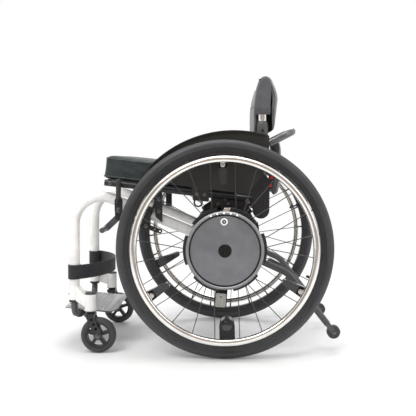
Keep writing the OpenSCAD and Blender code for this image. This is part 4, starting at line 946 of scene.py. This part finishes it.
make_panel("back_cover", COVER_FACE, 88, COVER_HW, COVER_THICK, (10, 4), COVER_SEAMS, back_lining)
make_panel("back_pad", PAD_FACE, 30, PAD_HW, PAD_THICK, (4, 4), (0.5,), back_cloth)
make_sling()
make_strap()
for side, label in SIDES:
    make_sleeve(side, label)
    make_collar(side, label)


# Hard details
BOLT_HEAD = ((1, 0), (1, 0.4), (0.9, 0.8), (0.6, 1), (0.46, 1), (0.42, 0.55), (0, 0.5))
NUT_DOME = ((0.72, 0), (0.72, 0.75), (0.5, 1), (0, 1.05))


def bolt(spot, axis, radius, height, washer=0.0):
    """Button head with a socket, on a washer where one is given; axis points out of the head."""
    shapes = []
    base = 0.0
    if washer:
        base = 1.0
        shapes.append(lathe([(washer, 0), (washer, 0.8), (washer - 0.3, base)], spot, axis, 32))
    shapes.append(lathe([(radius * r, base + height * h) for r, h in BOLT_HEAD], spot, axis, 28))
    return shapes


def hex_nut(spot, axis, radius, height):
    """Six-sided nut with a domed end."""
    return [
        slab(round_section(radius, 6), spot, axis, (1, 0, 0), height * 0.7),
        lathe([(radius * r, height * h) for r, h in NUT_DOME], spot, axis, 24),
    ]


def outward(side):
    return Vector((0, side, 0))


VALVE_ANGLE = {-1: -20, 1: 24}


def wheel_details(side, label):
    body = "wheel_" + label
    out = outward(side)
    centre = on_wheel(side, 0, 0, 0)
    light = [(2.1, 0), (2.1, 3.2), (1.5, 3.9), (0, 4.1)]
    lights = [lathe(light, on_wheel(side, 101, 90 + k * 10.3, 39.65), out, 20) for k in range(-2, 3)]
    piece("charge_lights_" + label, lights, lamp_glass, body)
    cap = [(6.6, 34.75), (7.3, 34.75), (7.4, 36.8), (6.7, 38.3), (5, 39), (3.4, 39), (3.1, 38), (0, 37.9)]
    caps = [lathe(cap, on_wheel(side, 232, angle, 0), out, 32) for angle in (90, 210, 330)]
    piece("guide_screw_caps_" + label, caps, brushed_steel, body)
    foot = on_wheel(side, 262.6, VALVE_ANGLE[side], 0)
    inward = (centre - foot).normalized()
    stem = [(6, 0), (5.6, 1.5), (3.6, 3.5), (2.7, 6), (2.7, 17), (3.4, 17.5), (3.6, 19), (3.6, 26)]
    stem += [(2.8, 28), (0, 28.4)]
    piece("valve_" + label, [lathe(stem, foot, inward, 24)], grip_rubber, body)
    starts = [19.5 + k * 1.6 for k in range(4)]
    ribs = [lathe([(3.7, h), (4.0, h + 0.6), (3.7, h + 1.2)], foot, inward, 24) for h in starts]
    piece("valve_cap_ribs_" + label, ribs, grip_rubber, body)
    latch = [(-11, -4), (7, -4), (11, 4), (-6, 4)]
    latch = slab(latch, on_wheel(side, 111, 86, 36.1), out, (-side, 0, 0), 2.4)
    piece("hub_latch_" + label, [latch], bright_steel, body, bevel=0.6)
    socket = on_wheel(side, 78, 90, 0)
    lining = [(5.49, 34.45), (5.49, 43.2), (5.43, 43.2), (5.43, 34.6), (0, 34.6)]
    piece("socket_lining_" + label, [lathe(lining, socket, out, 32)], moulded_black, body)
    pin = [(2.2, 34.65), (2.2, 41), (1.6, 41.8), (0, 42)]
    piece("socket_pin_" + label, [lathe(pin, socket, out, 24)], socket_silver, body)
    block = on_wheel(side, 206, 270, 0)
    glass = [(13.8, 27.1), (13.8, 29.8), (12.4, 30.9), (8, 31.8), (0, 32.2)]
    piece("sensor_lens_" + label, [lathe(glass, block, out, 40)], lens_black, body)
    radial = (block - centre).normalized()
    plate = slab(flat_section(48, 36, 5, 4), on_wheel(side, 238, 270, -8.1), -out, radial, 2.2)
    piece("sensor_plate_" + label, [plate], plate_alloy, body, bevel=0.5)
    screws = bolt(on_wheel(side, 250, 270, -10.2), -out, 3.6, 2.2)
    for k in range(8):
        screws += bolt(on_wheel(side, 84, 22.5 + 45 * k, -44), -out, 3.4, 2.0)
    piece("wheel_screws_" + label, screws, bright_steel, body)
    screw = on_wheel(side, 227, 270, -10.3)
    cup = [(7.4, 0), (7.4, 1.2), (6.8, 1.7), (4.9, 1.7), (4.7, 0.6), (0, 0.5)]
    piece("plate_washer_" + label, [lathe(cup, screw, -out, 32)], socket_silver, body)
    ring = [(2.6, 0.62), (4.6, 0.62), (4.4, 1.4), (2.7, 1.4)]
    piece("plate_screw_ring_" + label, [hoop(ring, screw, -out, 28)], moulded_black, body)
    seat = [(30, -44.05), (30, -45.2), (28.5, -46), (24.6, -46), (24.6, -44.05)]
    piece("hub_back_ring_" + label, [hoop(seat, centre, out, 64)], moulded_black, body)


CASTOR_X = -358
CASTOR_Y = 195
CASTOR_Z = 50
SWIVEL_X = -381
RAIL_Y = 186
LOOP_X = -76
FOOT_Y = 96
FOOT_Z = 100
FOOT_TILT = radians(6)


def frame_details(side, label):
    out = outward(side)
    heads = [(at(x, side * 189.1, z), 3.2, 2.2, 4.4) for x, z in ((0, 432), (9.4, 419), (-20, 419))]
    heads += [(at(-189, side * 184.2, z), 4.2, 3.0, 5.6) for z in (398, 432)]
    heads += [(on_seat(u, side * 216.6, 0), 3.8, 2.0, 5.6) for u in (263, 285)]
    heads += [
        (on_seat(14, side * 195, 0), 4.4, 2.6, 5.4),
        (at(-224, side * 201.6, 357.3), 4.2, 3.0, 6.0),
        (on_seat(406, side * 201.6, -6), 5.2, 3.4, 7.0),
    ]
    bolts = [shape for spot, *size in heads for shape in bolt(spot, out, *size)]
    for x in (-16, 8, 32):
        bolts += hex_nut(at(x, side * 182.9, 406.4), -out, 6.4, 4.5)
    piece("frame_bolts_" + label, bolts, bolt_steel, "frame")
    holder = [(x + 13, y) for x, y in flat_section(42, 16, 8, 6)]
    holder = slab(holder, at(128.5, side * 197.2, 470), out, (0.1, 0, 1), 4.4)
    piece("stay_plate_" + label, [holder], paint_black, "frame", bevel=0.6)
    stay = []
    for x, z in ((131.5, 495.5), (128.7, 472.5)):
        stay += bolt(at(x, side * 201.7, z), out, 4.8, 3.4)
    piece("stay_bolts_" + label, stay, red_metal, "frame")
    loop = [at(LOOP_X + x, side * 199, 424 + z) for x, z in round_section(11, 40)]
    ring = sweep(loop, flat_section(4.5, 5, 1.6, 3), closed=True, up=(0, 1, 0))
    strap = [at(LOOP_X, side * y, z) for y, z in ((199, 434), (199, 444), (197.5, 452))]
    tab = sweep(strap, flat_section(14, 3, 1, 2), up=(0, 1, 0))
    piece("tie_down_" + label, [ring, tab], moulded_black, "frame")
    ahead = (on_seat(-1, side * RAIL_Y, 0) - on_seat(0, side * RAIL_Y, 0)).normalized()
    plug = [(9.2, 0), (9.2, 1.4), (8.4, 2.6), (5, 3.2), (0, 3.4)]
    plug = lathe(plug, on_seat(0.2, side * RAIL_Y, 0), ahead, 32)
    piece("rail_plug_" + label, [plug], moulded_black, "frame")
    swivel = at(SWIVEL_X, side * CASTOR_Y, 0)
    post = at(POST_X, side * POST_Y, 0)
    seal = [(11.4, 116.6), (16.2, 116.6), (16.8, 117.2), (16.8, 117.95), (11.4, 117.95)]
    groove = [(16.6, 121), (17.1, 121.3), (17.1, 122.7), (16.6, 123)]
    collar = [(9.8, 137), (14.4, 137), (15.2, 138), (15.2, 143.2), (14.6, 143.9), (9.8, 143.9)]
    for name, profile, spot, material, slot in (
        ("castor_seal_", seal, swivel, moulded_black, "cap_black"),
        ("castor_band_", groove, swivel, frame_white, "frame_white"),
        ("footrest_collar_", collar, post, moulded_black, "footrest_grey"),
    ):
        piece(name + label, [hoop(profile, spot, UP, 48)], material, "frame")
    screws = bolt(at(-448.2, side * POST_Y, 160), (-1, 0, 0), 3.6, 2.6, 5.2)
    screws += bolt(at(-418, side * POST_Y, 160), (1, 0, 0), 3.6, 2.6, 5.2)
    piece("footrest_screws_" + label, screws, bright_steel, "frame")
    turns = [radians(-185 + 180 * k / 20) for k in range(21)]
    saddle = [at(POST_X + 11.4 * cos(a), side * FOOT_Y, FOOT_Z + 11.4 * sin(a)) for a in turns]
    clamp = sweep(saddle, flat_section(20, 3, 1, 2), up=(0, 1, 0))
    piece("footplate_clamp_" + label, [clamp], moulded_black, "frame")
    sine, cosine = sin(FOOT_TILT), cos(FOOT_TILT)
    screws = []
    for y in (FOOT_Y - 14, FOOT_Y + 14):
        for x in (-460, -360):
            spot = at(x + 13.85 * sine, side * y, FOOT_Z + 13.85 * cosine - (x - POST_X) * sine)
            screws += bolt(spot, (sine, 0, cosine), 3.6, 1.6)
    piece("footplate_screws_" + label, screws, bright_steel, "frame")


SHOE_X = -300.02
SHOE_Z = 384.9
LEVER_Z = 402.9


def lock_details(side, label):
    lever = "lever_" + label
    stick = at(SHOE_X, side * 208, 0)
    grip = [(6.2, 434), (7.4, 435), (7.4, 437), (6.9, 440), (7.0, 468), (7.8, 480), (7.8, 486)]
    grip += [(6.4, 489.6), (3, 491), (0, 491.2)]
    piece("lock_grip_" + label, [lathe(grip, stick, UP, 32)], grip_rubber, lever)
    rib = [(7.0, 0), (7.5, 0.7), (7.5, 1.5), (7.0, 2.2)]
    rings = [hoop([(r, z + h) for r, h in rib], stick, UP, 32) for z in (444, 450, 456, 462)]
    piece("lock_grip_rings_" + label, rings, grip_rubber, lever)
    pivot = bolt(at(SHOE_X, side * 207.3, LEVER_Z), outward(side), 4.6, 3.0, 7.0)
    piece("lock_pivot_" + label, pivot, bolt_steel, lever)
    coil = []
    for k in range(73):
        a = 2 * pi * k / 16
        y = 190.6 - 4.2 * k / 72
        coil.append(at(SHOE_X + 6.4 * cos(a), side * y, SHOE_Z + 6.4 * sin(a)))
    coil = sweep(coil, round_section(0.8, 8))
    piece("lock_spring_" + label, [coil], brushed_steel, "frame")


def castor_details(side, label):
    cap = [(6.6, 14.05), (10.2, 14.05), (10.6, 14.5), (9.8, 15.2), (6.6, 15.4)]
    caps = []
    for end in (-1, 1):
        axis = outward(end)
        caps.append(hoop(cap, at(CASTOR_X, side * CASTOR_Y, CASTOR_Z), axis, 40))
        spot = at(CASTOR_X, side * CASTOR_Y + end * 20.05, CASTOR_Z)
        name = f"castor_axle_{label}_{'out' if end == side else 'in'}"
        head = bolt(spot, axis, 5.4, 3.4, 7.4) if end == side else hex_nut(spot, axis, 6.6, 4.6)
        piece(name, head, bolt_steel, "castor_fork_" + label)
    piece("castor_dust_caps_" + label, caps, moulded_black, "castor_" + label)


TIPPER_Y = 163
TIPPER_Z = 300
TIPPER_DROP = atan2(81, 180)


def tipper_details(side, label):
    body = "tipper_" + label
    heads = []
    for end in (-1, 1):
        heads += bolt(at(311, side * TIPPER_Y + end * 12.65, 51), outward(end), 4.6, 2.6, 6.4)
    piece("roller_pin_heads_" + label, heads, bolt_steel, body)
    along = Vector((cos(TIPPER_DROP), 0, -sin(TIPPER_DROP)))
    up = Vector((sin(TIPPER_DROP), 0, cos(TIPPER_DROP)))
    start = at(0, side * TIPPER_Y, TIPPER_Z)
    knob = [(4.2, -0.6), (4.2, 0.6), (3.4, 1), (3.2, 3), (2.4, 3.8), (0, 4.1)]
    knob = lathe(knob, start + along * 96 * MM + up * 9.3 * MM, up, 24)
    piece("tipper_button_" + label, [knob], bright_steel, body)
    band = [(9.55, 0), (10.6, 0.4), (10.6, 5.6), (9.55, 6)]
    band = hoop(band, start + along * 78 * MM, along, 40)
    piece("tipper_band_" + label, [band], moulded_black, body)


PUSH_Z = 583
PUSH_RISE = radians(26.6)
PUSH_L = 97.3
PUSH_BEND = 45
GRIP_START = 22


def on_bar(reach, y):
    """Point on the push bar's middle line, reach mm from the canes."""
    return at(CANE_X + reach * cos(PUSH_RISE), y, PUSH_Z + reach * sin(PUSH_RISE))


def make_grip(side, label):
    """Foam grip on one arm of the push bar and its bend; the straight tube between the bends stays bare."""
    arm = PUSH_L - PUSH_BEND
    run = [(GRIP_START + (arm - GRIP_START) * k / 4, CANE_Y) for k in range(4)]
    for k in range(13):
        a = radians(90 * k / 12)
        run.append((arm + PUSH_BEND * sin(a), CANE_Y - PUSH_BEND + PUSH_BEND * cos(a)))
    grip = sweep([on_bar(reach, side * y) for reach, y in run], round_section(11.4, 24))
    piece("push_bar_grip_" + label, [grip], bar_grey, "backrest")


def back_details(side, label):
    ferrule = [(10.05, 654), (12.1, 654), (12.5, 655), (12.5, 676), (10.05, 676)]
    ferrule = hoop(ferrule, at(CANE_X, side * CANE_Y, 0), UP, 48)
    piece("cane_ferrule_" + label, [ferrule], chrome, "backrest")
    heads = []
    for z in (604, 628):
        heads += bolt(at(CANE_X, side * 201.9, z), outward(side), 4.2, 2.4)
    piece("collar_bolts_" + label, heads, paint_black, "backrest")


for side, label in SIDES:
    wheel_details(side, label)
    frame_details(side, label)
    lock_details(side, label)
    castor_details(side, label)
    tipper_details(side, label)
    back_details(side, label)
    make_grip(side, label)
